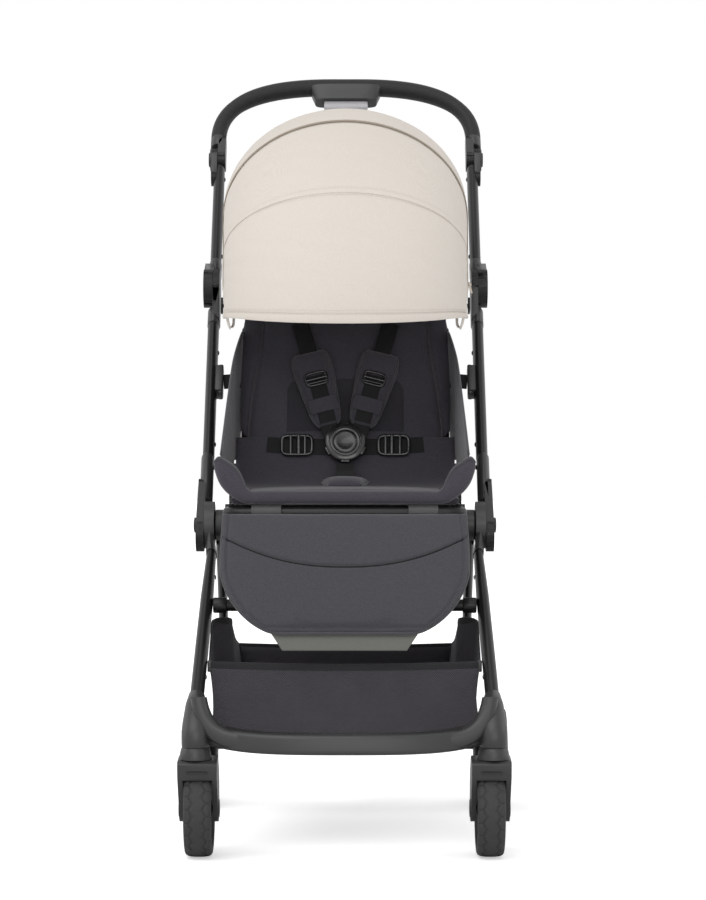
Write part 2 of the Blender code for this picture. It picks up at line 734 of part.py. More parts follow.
# Casters
def wheel(name, body, centre, radius, width, spokes=5):
    """Tyre with a rounded tread, and a dished rim with openings between its spokes."""
    half = width / 2
    shoulder = 0.009
    inner = radius - TYRE_DEPTH
    profile = [(half - 0.004, inner), (half, inner + 0.003)]
    for k in range(3):
        angle = math.pi / 2 * k / 2
        inward = shoulder * (1 - math.cos(angle)) * 1.4
        profile.append((half - inward, radius - shoulder * (1 - math.sin(angle))))
    mirrored = [(-h, r) for h, r in reversed(profile)]
    tyre = turned(name + "_tyre", profile + mirrored, centre, steps=WHEEL_STEPS, closed=True)
    finish_piece(tyre, name + "_tyre", body, ("rubber", RUBBER), smooth=40)
    rim_outer = inner - CLEARANCE
    bore = WHEEL_PIN_RADIUS + CLEARANCE
    lip = half - 0.0045
    outline = [
        (half - 0.001, bore), (half - 0.001, 0.0115), (0.0035, 0.016),
        (0.0030, rim_outer - 0.008), (lip, rim_outer),
    ]
    outline = outline + [(-h, r) for h, r in reversed(outline)]
    rim = turned(name + "_rim", outline, centre, steps=WHEEL_STEPS, closed=True)
    middle = (0.016 + rim_outer - 0.008) / 2
    size = (rim_outer - 0.008 - 0.016) / 2 - 0.0018
    for k in range(spokes):
        angle = 2 * math.pi * k / spokes
        spot = Vector((0, centre.y + middle * math.cos(angle), centre.z + middle * math.sin(angle)))
        hole = disc("window", size, (centre.x - 0.02, centre.x + 0.02), spot, 1, 6, helper=True)
        boolean(rim, hole, "DIFFERENCE")
    finish_piece(rim, name + "_rim", body, ("plastic", PLASTIC))


def caster(name, side):
    """Swivelling fork with its stem pin and wheel pin, cut free around the wheel."""
    x = side * STEM_X
    x_wheel = side * FRONT_WHEEL_X
    centre = Vector((x_wheel, 0, FRONT_WHEEL_RADIUS))
    axle = Vector((0, 0, FRONT_WHEEL_RADIUS))
    half = 0.0255
    arch = [(-0.0570, 0.1255), (-0.0100, 0.1290)]
    outline = []
    for k in range(9):
        angle = math.radians(20 - 25 * k)
        outline.append((0.0175 * math.cos(angle), axle.z + 0.0175 * math.sin(angle)))
    outline += [(-0.030, 0.078), (-0.0540, 0.108), arch[0], (-0.0530, 0.1295), (-0.0170, 0.1335), arch[1],
                (0.0060, 0.115), (0.0170, 0.095)]
    low = x_wheel - half
    high = x_wheel + half
    fork = plate(name + "_caster_fork", outline, (low, high), 1)
    wheel_space = disc(
        "wheel_space", FRONT_WHEEL_RADIUS + 0.003,
        (x_wheel - FRONT_WHEEL_WIDTH / 2 - 0.0008, x_wheel + FRONT_WHEEL_WIDTH / 2 + 0.0008),
        axle, 1, 28, helper=True,
    )
    boolean(fork, wheel_space, "DIFFERENCE")
    stem_at = Vector((x, STEM.y, 0))
    top = STEM.z - CLEARANCE
    neck = turned("neck", [
        (top, 0), (top, 0.0178), (top - 0.005, 0.0195), (0.1305, 0.0215), (0.1300, 0),
    ], stem_at, "Z", 18)
    stem = turned("stem", [(STEM.z + 0.046, 0), (STEM.z + 0.046, 0.0052), (0.140, 0.0052), (0.140, 0)],
                  stem_at, "Z", 12)
    pin = disc("wheel_pin", WHEEL_PIN_RADIUS, (low + 0.002, high - 0.002), axle, 1, 16)
    fuse(fork, neck, stem, pin)
    finish_piece(fork, name + "_caster_fork", name + "_caster", ("plastic", PLASTIC))
    wheel(name + "_front", name + "_front_wheel", centre, FRONT_WHEEL_RADIUS, FRONT_WHEEL_WIDTH)


# Rear frame
def rear_leg(name, side):
    """Oval tube that bends outwards to the wheel, whose pin is pressed into its foot."""
    lean = (REAR_AXLE - MAIN_PIVOT).normalized()
    depth_way = Vector((0, lean.z, -lean.y))
    rings = []
    bend = ((0.0, REAR_LEG_X), (0.42, REAR_LEG_X + 0.0012), (0.55, REAR_LEG_X + 0.0045), (1.0, REAR_FOOT_X))
    for share, x in bend:
        centre = at_x(MAIN_PIVOT.lerp(REAR_AXLE, share), side * x)
        rings.append(ring(centre, (1, 0, 0), depth_way, REAR_LEG_WIDTH / 2 - 0.0003, REAR_LEG_DEPTH / 2, 14))
    leg = loft(name + "_rear_leg", rings)
    knuckle = (REAR_LEG_X - REAR_LEG_WIDTH / 2, REAR_LEG_X + REAR_LEG_WIDTH / 2)
    foot = (REAR_FOOT_X - REAR_LEG_WIDTH / 2, REAR_FOOT_X + REAR_LEG_WIDTH / 2)
    wheel_out = REAR_WHEEL_X + REAR_WHEEL_WIDTH / 2
    wheel_in = REAR_WHEEL_X - REAR_WHEEL_WIDTH / 2 + 0.0005
    profile = [
        (wheel_out + 0.0030, 0), (wheel_out + 0.0030, 0.0060), (wheel_out + 0.0015, 0.0085),
        (wheel_out - 0.0003, 0.0085), (wheel_out - 0.0003, WHEEL_PIN_RADIUS),
        (wheel_in + 0.0002, WHEEL_PIN_RADIUS), (wheel_in + 0.0002, 0.0090), (foot[1] - 0.0020, 0.0090),
        (foot[1] - 0.0020, 0),
    ]
    fuse(
        leg,
        disc("knuckle", 0.0215, knuckle, MAIN_PIVOT, side, 20),
        disc("axle_end", 0.0185, foot, REAR_AXLE, side, 18),
        turned("wheel_pin", [(side * h, r) for h, r in profile], REAR_AXLE, steps=12, helper=True),
    )
    drill(leg, MAIN_PIN_RADIUS + CLEARANCE, (knuckle[0] - 0.016, knuckle[1] + 0.011), MAIN_PIVOT, side)
    drill(leg, AXLE_TUBE_RADIUS + CLEARANCE, (0.150, REAR_FOOT_X + CLEARANCE), REAR_CROSS, side)
    finish_piece(leg, name + "_rear_leg", "rear_frame", ("frame_grey", FRAME_GREY))


PEDAL_X = (-0.030, 0.030)


def rear_axle():
    """Cross tube between the rear legs, above the wheel pins, its ends set into the legs."""
    axle = disc("rear_axle", AXLE_TUBE_RADIUS, (-REAR_FOOT_X, REAR_FOOT_X), REAR_CROSS, 1, 16)
    finish_piece(axle, "rear_axle", "rear_frame", ("frame_grey", FRAME_GREY))


def brake_pedal():
    """Foot lever on a collar round the cross tube."""
    collar = disc("brake_pedal", 0.0125, PEDAL_X, REAR_CROSS, 1, 24)
    foot = REAR_CROSS + Vector((0, 0.052, 0.012))
    root = REAR_CROSS + Vector((0, 0.006, 0.004))
    blade = plate("blade", link_outline(root, foot, 0.0065, 0.0035, 6), PEDAL_X)
    ridge = disc("ridge", 0.0045, PEDAL_X, foot + Vector((0, 0, 0.0015)), 1, 12)
    fuse(collar, blade, ridge)
    drill(collar, AXLE_TUBE_RADIUS + CLEARANCE, (PEDAL_X[0] - 0.01, PEDAL_X[1] + 0.01), REAR_CROSS, 1)
    finish_piece(collar, "brake_pedal", "brake_pedal", ("plastic", PLASTIC))


# Push frame
def on_push_tube(distance, x, pivot=MAIN_PIVOT):
    """A point on the push tube's centre line, measured along it from beside a pivot."""
    return at_x(pivot + PUSH_BEHIND * PUSH_TUBE_SETBACK + PUSH_ALONG * distance, x)


LOWER_LENGTH = (ELBOW_PIVOT - MAIN_PIVOT).length
SLEEVE_START = 0.045
SLEEVE_END = 0.125
ELBOW_SOCKET_START = 0.033
ELBOW_SOCKET_END = 0.060


def push_knuckle(name, side):
    """Half-lapped end plate at the main pivot, with the sleeve that holds the lower tube."""
    low = MAIN_PIVOT - PUSH_ALONG * 0.016
    plate_end = on_push_tube(0.070, 0)
    outline = link_outline(low, plate_end, 0.0235, 0.0165, 9)
    knuckle = plate(name + "_push_knuckle", outline, KNUCKLE_X, side, 0.0012)
    x = side * (PUSH_TUBE_X + 0.001)
    sleeve_start = on_push_tube(SLEEVE_START, x)
    sleeve = oval_bar("sleeve", sleeve_start, on_push_tube(SLEEVE_END, x), 0.0180, 0.0330, 16)
    fuse(knuckle, sleeve)
    through = (KNUCKLE_X[0] - 0.0037, KNUCKLE_X[1] + 0.0053)
    drill(knuckle, MAIN_PIN_RADIUS + CLEARANCE, through, MAIN_PIVOT, side)
    finish_piece(knuckle, name + "_push_knuckle", "lower_push", ("plastic", PLASTIC))


CLIP_DISTANCE = 0.262


def lower_push_tube(name, side):
    x = side * PUSH_TUBE_X
    start = on_push_tube(SLEEVE_END + CLEARANCE, x)
    end = on_push_tube(LOWER_LENGTH - ELBOW_SOCKET_END + 0.006, x)
    tube = oval_bar(name + "_lower_push_tube", start, end, PUSH_TUBE_WIDTH, PUSH_TUBE_DEPTH, 14)
    socket = oval_bar(
        "socket", on_push_tube(LOWER_LENGTH - ELBOW_SOCKET_END, x),
        on_push_tube(LOWER_LENGTH - ELBOW_SOCKET_START, x), 0.0180, 0.0320, 14,
    )
    neck = plate(
        "neck", link_outline(ELBOW_PIVOT, on_push_tube(LOWER_LENGTH - 0.042, 0), ELBOW_RADIUS, 0.0152, 9),
        ELBOW_INNER_X, side,
    )
    pitch = -math.atan2(PUSH_ALONG.y, PUSH_ALONG.z)
    clip_at = on_push_tube(CLIP_DISTANCE, side * (PUSH_TUBE_X - 0.0112))
    clip = box("strap_clip", (0.0120, 0.024, 0.046), clip_at, pitch, 0.002)
    fuse(tube, socket, neck, clip)
    finish_piece(tube, name + "_lower_push_tube", "lower_push", ("frame_grey", FRAME_GREY))


def upper_push_tube(name, side):
    """Upper tube with the elbow's outer half and the outer half of the handle hub."""
    x = side * PUSH_TUBE_X
    reach = (HANDLE_PIVOT - on_push_tube(0, 0, ELBOW_PIVOT)).length
    tube = oval_bar(
        name + "_upper_push_tube", on_push_tube(ELBOW_SOCKET_END - 0.006, x, ELBOW_PIVOT),
        on_push_tube(reach - HANDLE_HUB_RADIUS - 0.004, x, ELBOW_PIVOT), PUSH_TUBE_WIDTH, PUSH_TUBE_DEPTH, 14,
    )
    socket = oval_bar(
        "socket", on_push_tube(ELBOW_SOCKET_START, x, ELBOW_PIVOT),
        on_push_tube(ELBOW_SOCKET_END, x, ELBOW_PIVOT), 0.0180, 0.0320, 14,
    )
    neck = plate(
        "neck", link_outline(ELBOW_PIVOT, on_push_tube(0.042, 0, ELBOW_PIVOT), ELBOW_RADIUS, 0.0152, 9),
        ELBOW_OUTER_X, side, 0.0012,
    )
    hub_tail = on_push_tube(reach - 0.034, 0, ELBOW_PIVOT)
    outline = link_outline(HANDLE_PIVOT, hub_tail, HANDLE_HUB_RADIUS, 0.0145, 10)
    hub = plate("hub", outline, (HANDLE_X + CLEARANCE, HANDLE_X + 0.0122), side, 0.0010)
    fuse(tube, socket, neck, hub)
    recess_x = (HANDLE_X + 0.0052, HANDLE_X + 0.0242)
    recess = disc("button_recess", 0.0113, recess_x, HANDLE_PIVOT, side, 18, helper=True)
    boolean(tube, recess, "DIFFERENCE")
    finish_piece(tube, name + "_upper_push_tube", "upper_push", ("frame_grey", FRAME_GREY))
    button_x = (HANDLE_X + 0.0082, HANDLE_X + 0.0144)
    button = disc(name + "_tilt_button", 0.0109, button_x, HANDLE_PIVOT, side, 18)
    finish_piece(button, name + "_tilt_button", name + "_tilt_button", ("plastic", PLASTIC))


HANDLE_BEND_DOWN = 0.104
HANDLE_BEND_ACROSS = 0.172
HANDLE_SOCKET = 0.040


def handle_drop(x):
    """How far the bent grip lies below its highest line, at a distance across."""
    from_side = HANDLE_X - abs(x)
    bend = math.sqrt(min(1.0, max(0.0, from_side / HANDLE_BEND_ACROSS)))
    return HANDLE_BEND_DOWN * (1 - bend) ** 2


def handlebar():
    """Bowed grip with its two hub sockets, and the release housing under its middle."""
    rise = (HANDLE_TOP - HANDLE_PIVOT)
    along = rise.normalized()
    start = HANDLE_PIVOT + along * 0.034
    half = []
    for k in range(11):
        x = HANDLE_X - HANDLE_BEND_ACROSS * (k / 10) ** 2
        half.append(at_x(HANDLE_TOP - along * handle_drop(x), x))
    points = [at_x(start, -HANDLE_X)] + [at_x(p, -p.x) for p in half] + [at_x(HANDLE_TOP, 0)]
    points += half[::-1] + [at_x(start, HANDLE_X)]
    swell = GRIP_TOP_RADIUS / GRIP_RADIUS - 1
    radii = [1 + swell * max(0.0, 1 - (abs(point.x) / 0.17) ** 6) for point in points]
    grip = as_mesh(wire("handlebar_grip", points, GRIP_RADIUS, radii=radii, resolution=2))
    for name, side in both_sides():
        x = side * HANDLE_X
        socket = oval_bar(
            "socket", at_x(HANDLE_PIVOT + along * 0.0205, x), at_x(HANDLE_PIVOT + along * HANDLE_SOCKET, x),
            0.0238, 0.0290, 20,
        )
        neck = plate(
            "neck", link_outline(HANDLE_PIVOT, HANDLE_PIVOT + along * 0.030, HANDLE_HUB_RADIUS, 0.0140, 10),
            (HANDLE_X - 0.0118, HANDLE_X), side,
        )
        fuse(grip, socket, neck)
    finish_piece(grip, "handlebar_grip", "handlebar", ("leather", LEATHER))


HOUSING_TOP_HALF = 0.0555
HOUSING_BOTTOM_HALF = 0.0477
TRIGGER_HALF = 0.0340


def release_housing():
    """Clamp under the grip that holds the fold trigger."""
    along = (HANDLE_TOP - HANDLE_PIVOT).normalized()
    front = Vector((0, -along.z, along.y))
    x_axis = Vector((1, 0, 0))
    rings = []
    for down, half, depth in (
        (0.0060, HOUSING_TOP_HALF, 0.0172),
        (0.0150, HOUSING_TOP_HALF - 0.0025, 0.0165),
        (0.0310, HOUSING_BOTTOM_HALF, 0.0120),
    ):
        rings.append(ring(HANDLE_TOP - along * down, x_axis, front, half, depth, 24, 5.0))
    housing = loft("release_housing", rings)
    hollow = GRIP_TOP_RADIUS + CLEARANCE
    rings = []
    for k in range(-6, 7):
        centre = at_x(HANDLE_TOP - along * handle_drop(k * 0.012), k * 0.012)
        rings.append(ring(centre, front, along, hollow, hollow, 40))
    grip_space = loft("grip_space", rings, helper=True)
    boolean(housing, grip_space, "DIFFERENCE")
    pitch = -math.atan2(along.y, along.z)
    slot = box(
        "trigger_slot", (2 * TRIGGER_HALF + 0.0008, 0.0088, 0.040),
        HANDLE_TOP - along * (0.0185 + 0.020), pitch, helper=True,
    )
    boolean(housing, slot, "DIFFERENCE")
    finish_piece(housing, "release_housing", "handlebar", ("plastic", PLASTIC))
    trigger_at = HANDLE_TOP - along * (0.0250 + 0.0090)
    trigger = box("fold_trigger", (2 * TRIGGER_HALF, 0.0080, 0.0180), trigger_at, pitch, 0.0015)
    finish_piece(trigger, "fold_trigger", "fold_trigger", ("trigger_grey", TRIGGER_GREY))


# Backrest
def on_back(distance, out=0.0, x=0.0):
    """A point beside the backrest wire: up along it, out to the front, and across."""
    point = RECLINE_PIVOT + BACK_ALONG * distance + BACK_FRONT * out
    return Vector((x, point.y, point.z))


def backrest_frame():
    """Wire loop with its hinge pins, and the plates and pins that the canopy turns on."""
    low, high = 0.010, BACK_LENGTH
    corners = [
        on_back(low, 0, -BACK_HALF_WIDTH), on_back(low, 0, BACK_HALF_WIDTH),
        on_back(high, 0, BACK_HALF_WIDTH - 0.008), on_back(high, 0, -BACK_HALF_WIDTH + 0.008),
    ]
    path = rounded(corners, 0.030, 4)
    loop = as_mesh(wire("backrest_frame", path, BACK_WIRE_RADIUS, closed=True, resolution=1))
    for name, side in both_sides():
        outline = link_outline(RECLINE_PIVOT, on_back(0.040), 0.0095, 0.0055, 5)
        wire_x = BACK_HALF_WIDTH
        eye = plate("hinge_eye", outline, (wire_x - 0.0038, wire_x + 0.0050), side)
        pin = disc("hinge_pin", BACK_PIN_RADIUS, (wire_x, SEAT_PLATE_X[1] + 0.0011), RECLINE_PIVOT, side, 10)
        foot = on_back((CANOPY_PIVOT - RECLINE_PIVOT).dot(BACK_ALONG))
        outline = link_outline(CANOPY_PIVOT, foot, 0.0105, 0.0070, 5)
        bracket = plate("canopy_plate", outline, (wire_x + 0.0060, wire_x + 0.0152), side)
        boss = disc("plate_boss", 0.0055, (wire_x - 0.0050, wire_x + 0.0140), foot, side, 8)
        pin_x = (wire_x + 0.0140, CANOPY_HALF_WIDTH + 0.0008)
        canopy_pin = disc("canopy_pin", BACK_PIN_RADIUS, pin_x, CANOPY_PIVOT, side, 10)
        cap_x = (CANOPY_HALF_WIDTH - 0.0001, CANOPY_HALF_WIDTH + 0.0030)
        cap = disc("canopy_cap", 0.0125, cap_x, CANOPY_PIVOT, side, 14, bevel=0.0008)
        fuse(loop, eye, pin, bracket, boss, canopy_pin, cap)
    finish_piece(loop, "backrest_frame", "backrest", ("frame_grey", FRAME_GREY))


BACK_PAD_OUT = BACK_WIRE_RADIUS + CLEARANCE


def back_pad_half_width(share):
    """Half width of the backrest cushion: narrow at the hinges and beside the canopy plates."""
    low = min(1.0, max(0.0, (share - 0.075) / 0.045))
    high = min(1.0, max(0.0, (share - 0.50) / 0.07))
    return BACK_HALF_WIDTH - 0.0050 + 0.0138 * low - 0.0043 * high


def backrest_soft():
    cushion = pad(
        "backrest_cushion", on_back(0.012, BACK_PAD_OUT), BACK_PITCH, 0.380,
        back_pad_half_width,
        0.009, 0.010, pull=0.01, columns=10, rows=13,
    )
    finish_piece(cushion, "backrest_cushion", "backrest", ("seat_cloth", SEAT_CLOTH))
    front = BACK_PAD_OUT + 0.019 + CLEARANCE
    insert = pad(
        "insert_pad", on_back(0.055, front), BACK_PITCH, 0.165, lambda v: 0.084 - 0.012 * (2 * v - 1) ** 8,
        0.002, 0.006, columns=8, rows=8,
    )
    finish_piece(insert, "insert_pad", "backrest", ("seat_cloth", SEAT_CLOTH))


PAD_OUT = BACK_PAD_OUT + 0.019 + 0.008 + 2 * CLEARANCE
BUCKLE_OUT = 0.0297
WAIST_STRAP_OUT = 0.0232


def shoulder_half_width(share):
    """Half width of a shoulder pad: wide at the shoulder, drawn in towards the buckle."""
    return 0.0195 + 0.0085 * min(1.0, share / 0.7) - 0.004 * (2 * share - 1) ** 6


def harness():
    """Two shoulder pads in a V, the waist strap, and the buckle with its button."""
    for name, side in both_sides():
        strip = pad(
            name + "_shoulder_pad", (0, 0, 0), 0.0, 0.116, shoulder_half_width, 0.004, 0.009,
            columns=6, rows=12,
        )
        spot = on_back(0.062, PAD_OUT, side * 0.0250)
        strip.location = spot
        strip.rotation_euler = (Matrix.Rotation(BACK_PITCH, 3, "X") @ Matrix.Rotation(
            -side * math.radians(19), 3, "Z")).to_euler()
        finish_piece(strip, name + "_shoulder_pad", "backrest", ("seat_cloth", SEAT_CLOTH))
    centre = on_back(0.0310, BUCKLE_OUT)
    turn = (BACK_PITCH, 0, 0)

    def round_piece(label, radius, low, high, helper=False, bevel=0.0):
        def fill(shape):
            bmesh.ops.create_cone(
                shape, cap_ends=True, segments=26, radius1=radius, radius2=radius, depth=high - low,
                matrix=Matrix.Translation((0, 0, (low + high) / 2)),
            )

        made = mesh_object(label, fill, centre, turn, helper)
        if bevel:
            add_bevel(made, bevel)
        return made

    buckle = round_piece("buckle", BUCKLE_RADIUS, 0.0, 0.0125, bevel=0.003)
    boolean(buckle, round_piece("tongue_block", 0.0110, WAIST_STRAP_OUT + 0.0018 - BUCKLE_OUT, 0.002))
    boolean(buckle, round_piece("button_well", 0.0168, 0.0035, 0.03, helper=True), "DIFFERENCE")
    finish_piece(buckle, "buckle", "backrest", ("buckle", BUCKLE))
    button = round_piece("buckle_button", 0.0164, 0.0065, 0.0120)
    finish_piece(button, "buckle_button", "buckle_button", ("buckle", BUCKLE))
    rings = []
    stations = 10
    for k in range(stations + 1):
        share = 2 * k / stations - 1
        spot = on_back(0.028 + 0.004 * share ** 2, WAIST_STRAP_OUT - 0.0014 * share ** 2, 0.112 * share)
        rings.append(ring(spot, BACK_ALONG, BACK_FRONT, 0.0120, 0.0015, 6, 6.0))
    strap = loft("waist_strap", rings)
    finish_piece(strap, "waist_strap", "backrest", ("webbing", WEBBING))


# Cloth between the moving frames
def side_cloth(name, side):
    """Side panel between seat and backrest, and the recline strap behind it."""
    corners = [
        (0.126, 0.4850), (0.300, 0.4700), (0.322, 0.5160), (0.372, 0.5160), (0.412, 0.6900), (0.398, 0.7020),
        (0.250, 0.6150), (0.1240, 0.5240),
    ]

    def plane_x(y):
        return side * (SEAT_HALF_WIDTH - 0.0032 + (0.400 - y) * 0.045)

    def fill(shape):
        shape.faces.new([shape.verts.new((plane_x(y), y, z)) for y, z in rounded_pairs(corners, 0.006)])
        bmesh.ops.recalc_face_normals(shape, faces=shape.faces)

    panel = mesh_object(name + "_side_panel", fill)
    wall = panel.modifiers.new("cloth", "SOLIDIFY")
    wall.thickness = 0.0016
    wall.offset = 0
    finish_piece(panel, name + "_side_panel", "backrest", ("seat_cloth", SEAT_CLOTH))
    anchor = on_push_tube(CLIP_DISTANCE, side * (PUSH_TUBE_X - 0.0175))
    inner = Vector((side * (SEAT_HALF_WIDTH - 0.0005), anchor.y + 0.001, anchor.z + 0.002))
    strap = loft(name + "_recline_strap", [
        ring(anchor, (0, 0.35, 0.94), (side * 0.3, 0.94, -0.35), 0.0110, 0.0008, 10, 6.0),
        ring(inner, (0, 0.35, 0.94), (side * 0.3, 0.94, -0.35), 0.0110, 0.0008, 10, 6.0),
    ])
    finish_piece(strap, name + "_recline_strap", "backrest", ("webbing", WEBBING))


def rounded_pairs(corners, radius):
    return [(point.x, point.y) for point in rounded([Vector((y, z)) for y, z in corners], radius, 3)]


# Canopy
def arch_point(share, half_width, radius, narrowing=0.0):
    """(across, up) on the canopy's arch: share runs from one foot, 0, to the other, 1.

    The arch has straight sides and an oval top; narrowing draws the sides in above the feet.
    """
    narrowed = half_width * (1 - narrowing)
    from_foot = min(share, 1 - share) / CANOPY_SIDE_SHARE
    if from_foot < 1:
        across = half_width + (narrowed - half_width) * from_foot
        return math.copysign(across, share - 0.5), CANOPY_SIDE * radius * from_foot
    angle = math.pi * (share - CANOPY_SIDE_SHARE) / (1 - 2 * CANOPY_SIDE_SHARE)
    return -math.cos(angle) * narrowed, radius * (CANOPY_SIDE + (1 - CANOPY_SIDE) * math.sin(angle))


def arch_shares():
    """Places along the arch where the cloth and the bows have their points."""
    inside = 1 - 2 * CANOPY_FOOT
    return [CANOPY_FOOT + inside * k / CANOPY_COLUMNS for k in range(CANOPY_COLUMNS + 1)]


def canopy_bow(name, layer, body):
    """Flat strip bent to the arch, with an eye at each foot for the canopy pin."""
    half_width = CANOPY_HALF_WIDTH - CANOPY_CLOTH - 0.0007 - layer * BOW_PITCH
    radius = CANOPY_RADIUS - CANOPY_CLOTH - 0.0024
    shares = [0.0] + arch_shares() + [1.0]
    outer = [arch_point(share, half_width, radius) for share in shares]
    inner_width = half_width - BOW_THICKNESS
    inner = [arch_point(share, inner_width, radius - BOW_THICKNESS) for share in shares]
    curve = bpy.data.curves.new(name, "CURVE")
    curve.dimensions = "2D"
    curve.fill_mode = "BOTH"
    curve.extrude = BOW_WIDTH / 2
    spline = curve.splines.new("POLY")
    pairs = outer + inner[::-1]
    spline.points.add(len(pairs) - 1)
    for point, (across, up) in zip(spline.points, pairs):
        point.co = (across, up, 0, 1)
    spline.use_cyclic_u = True
    bow = bpy.data.objects.new(name, curve)
    lean = math.radians(BOW_ANGLES[name.replace("canopy_", "").replace("_bow", "")])
    bow.matrix_world = Matrix.Translation(CANOPY_PIVOT) @ Matrix.Rotation(math.pi / 2 - lean, 4, "X")
    bow = as_mesh(link(bow))
    for _, side in both_sides():
        eye = disc("bow_eye", 0.0075, (half_width - BOW_THICKNESS, half_width), CANOPY_PIVOT, side, 8)
        boolean(bow, eye)
        through = (half_width - 0.006, half_width + 0.006)
        drill(bow, BACK_PIN_RADIUS + CLEARANCE, through, CANOPY_PIVOT, side, 8)
    finish_piece(bow, name, body, ("plastic", PLASTIC))


CANOPY_STATIONS = (
    (-97.5, 1.0), (-90, 1.0), (-81, 0.994), (-70, 0.994), (-59.5, 1.0), (-52, 0.995), (-44, 0.992),
    (-36, 0.995), (-28, 1.0), (-18, 0.995), (-8, 0.992), (2, 0.995), (12, 1.0), (19, 0.96), (26, 0.86),
    (33, 0.72),
)


def canopy_fabric():
    """One sheet over the bows, sagging a little between them, down to the backrest's top."""
    def fill(shape):
        bmesh.ops.create_grid(
            shape, x_segments=CANOPY_COLUMNS, y_segments=len(CANOPY_STATIONS) - 1, size=1,
        )
        for vert in shape.verts:
            row = round((vert.co.y + 1) / 2 * (len(CANOPY_STATIONS) - 1))
            angle, reach = CANOPY_STATIONS[row]
            share = arch_shares()[round((vert.co.x + 1) / 2 * CANOPY_COLUMNS)]
            forward = min(1.0, (BOW_ANGLES["rear"] - angle) / (BOW_ANGLES["rear"] - BOW_ANGLES["front"]))
            narrowing = CANOPY_NARROWING * max(0.0, forward)
            across, up = arch_point(share, CANOPY_HALF_WIDTH, CANOPY_RADIUS, narrowing)
            up *= reach
            lean = math.radians(angle)
            vert.co = CANOPY_PIVOT + Vector((across, math.sin(lean) * up, math.cos(lean) * up))
        bmesh.ops.recalc_face_normals(shape, faces=shape.faces)
        middle = CANOPY_PIVOT + Vector((0, -0.1, 0.1))
        outward = sum((f.calc_center_median() - middle).dot(f.normal) for f in shape.faces)
        if outward < 0:
            bmesh.ops.reverse_faces(shape, faces=shape.faces)

    cloth = mesh_object("canopy_fabric", fill)
    wall = cloth.modifiers.new("cloth", "SOLIDIFY")
    wall.thickness = CANOPY_CLOTH
    wall.offset = -1
    finish_piece(cloth, "canopy_fabric", "backrest", ("canopy_cloth", CANOPY_CLOTH_COLOUR), smooth=60)


# Leg rest
LEGREST_TOP = 0.006
LEGREST_LENGTH = 0.1665
LEGREST_FOOT = LEGREST_TOP + LEGREST_LENGTH
LEGREST_BOARD_OUT = SEAT_TUBE_RADIUS + 0.0005
BOARD_THICKNESS = 0.003
BOARD_DROP = 0.022


def legrest_half_width(share):
    """Half width of the leg rest pad, from its lower edge, 0, to its upper edge, 1."""
    low = SEAT_HALF_WIDTH - 0.0725
    rounding = (1 - (1 - min(1.0, share * LEGREST_LENGTH / 0.090)) ** 1.7) ** (1 / 1.7)
    return low + 0.0785 * rounding - 0.003 * max(0.0, (share - 0.7) / 0.3)


def legrest_board_half_width(share):
    """Half width of the board: below the pad it ends in a narrow tongue."""
    above = share * (LEGREST_LENGTH + BOARD_DROP) - BOARD_DROP
    if above < 0:
        return SEAT_HALF_WIDTH - 0.062 + 0.014 * above / BOARD_DROP
    return SEAT_HALF_WIDTH - 0.062 + 0.049 * min(1.0, above / 0.060)


def legrest():
    """Stiff board with two hinge sleeves round the seat's front tube, and the padded cover."""
    foot = LEGREST_PIVOT - LEGREST_UP * LEGREST_FOOT
    board = pad(
        "legrest_board", foot - LEGREST_UP * BOARD_DROP + LEGREST_FRONT * LEGREST_BOARD_OUT, LEGREST_PITCH,
        LEGREST_LENGTH + BOARD_DROP, legrest_board_half_width, BOARD_THICKNESS, 0.0, columns=4, rows=9,
    )
    for name, side in both_sides():
        sleeve = disc("sleeve", SEAT_TUBE_RADIUS + 0.0035, (0.085, 0.125), LEGREST_PIVOT, side, 16)
        fuse(board, sleeve)
    for name, side in both_sides():
        drill(board, SEAT_TUBE_RADIUS + CLEARANCE, (0.080, 0.130), LEGREST_PIVOT, side)
    finish_piece(board, "legrest_board", "legrest", ("board", BOARD))
    pad_foot = foot + LEGREST_FRONT * (LEGREST_BOARD_OUT + BOARD_THICKNESS + CLEARANCE)
    cover = pad(
        "legrest_pad", pad_foot, LEGREST_PITCH, LEGREST_LENGTH, legrest_half_width, 0.004, 0.0080,
        columns=10, rows=12,
    )
    finish_piece(cover, "legrest_pad", "legrest", ("leg_cloth", LEG_CLOTH))


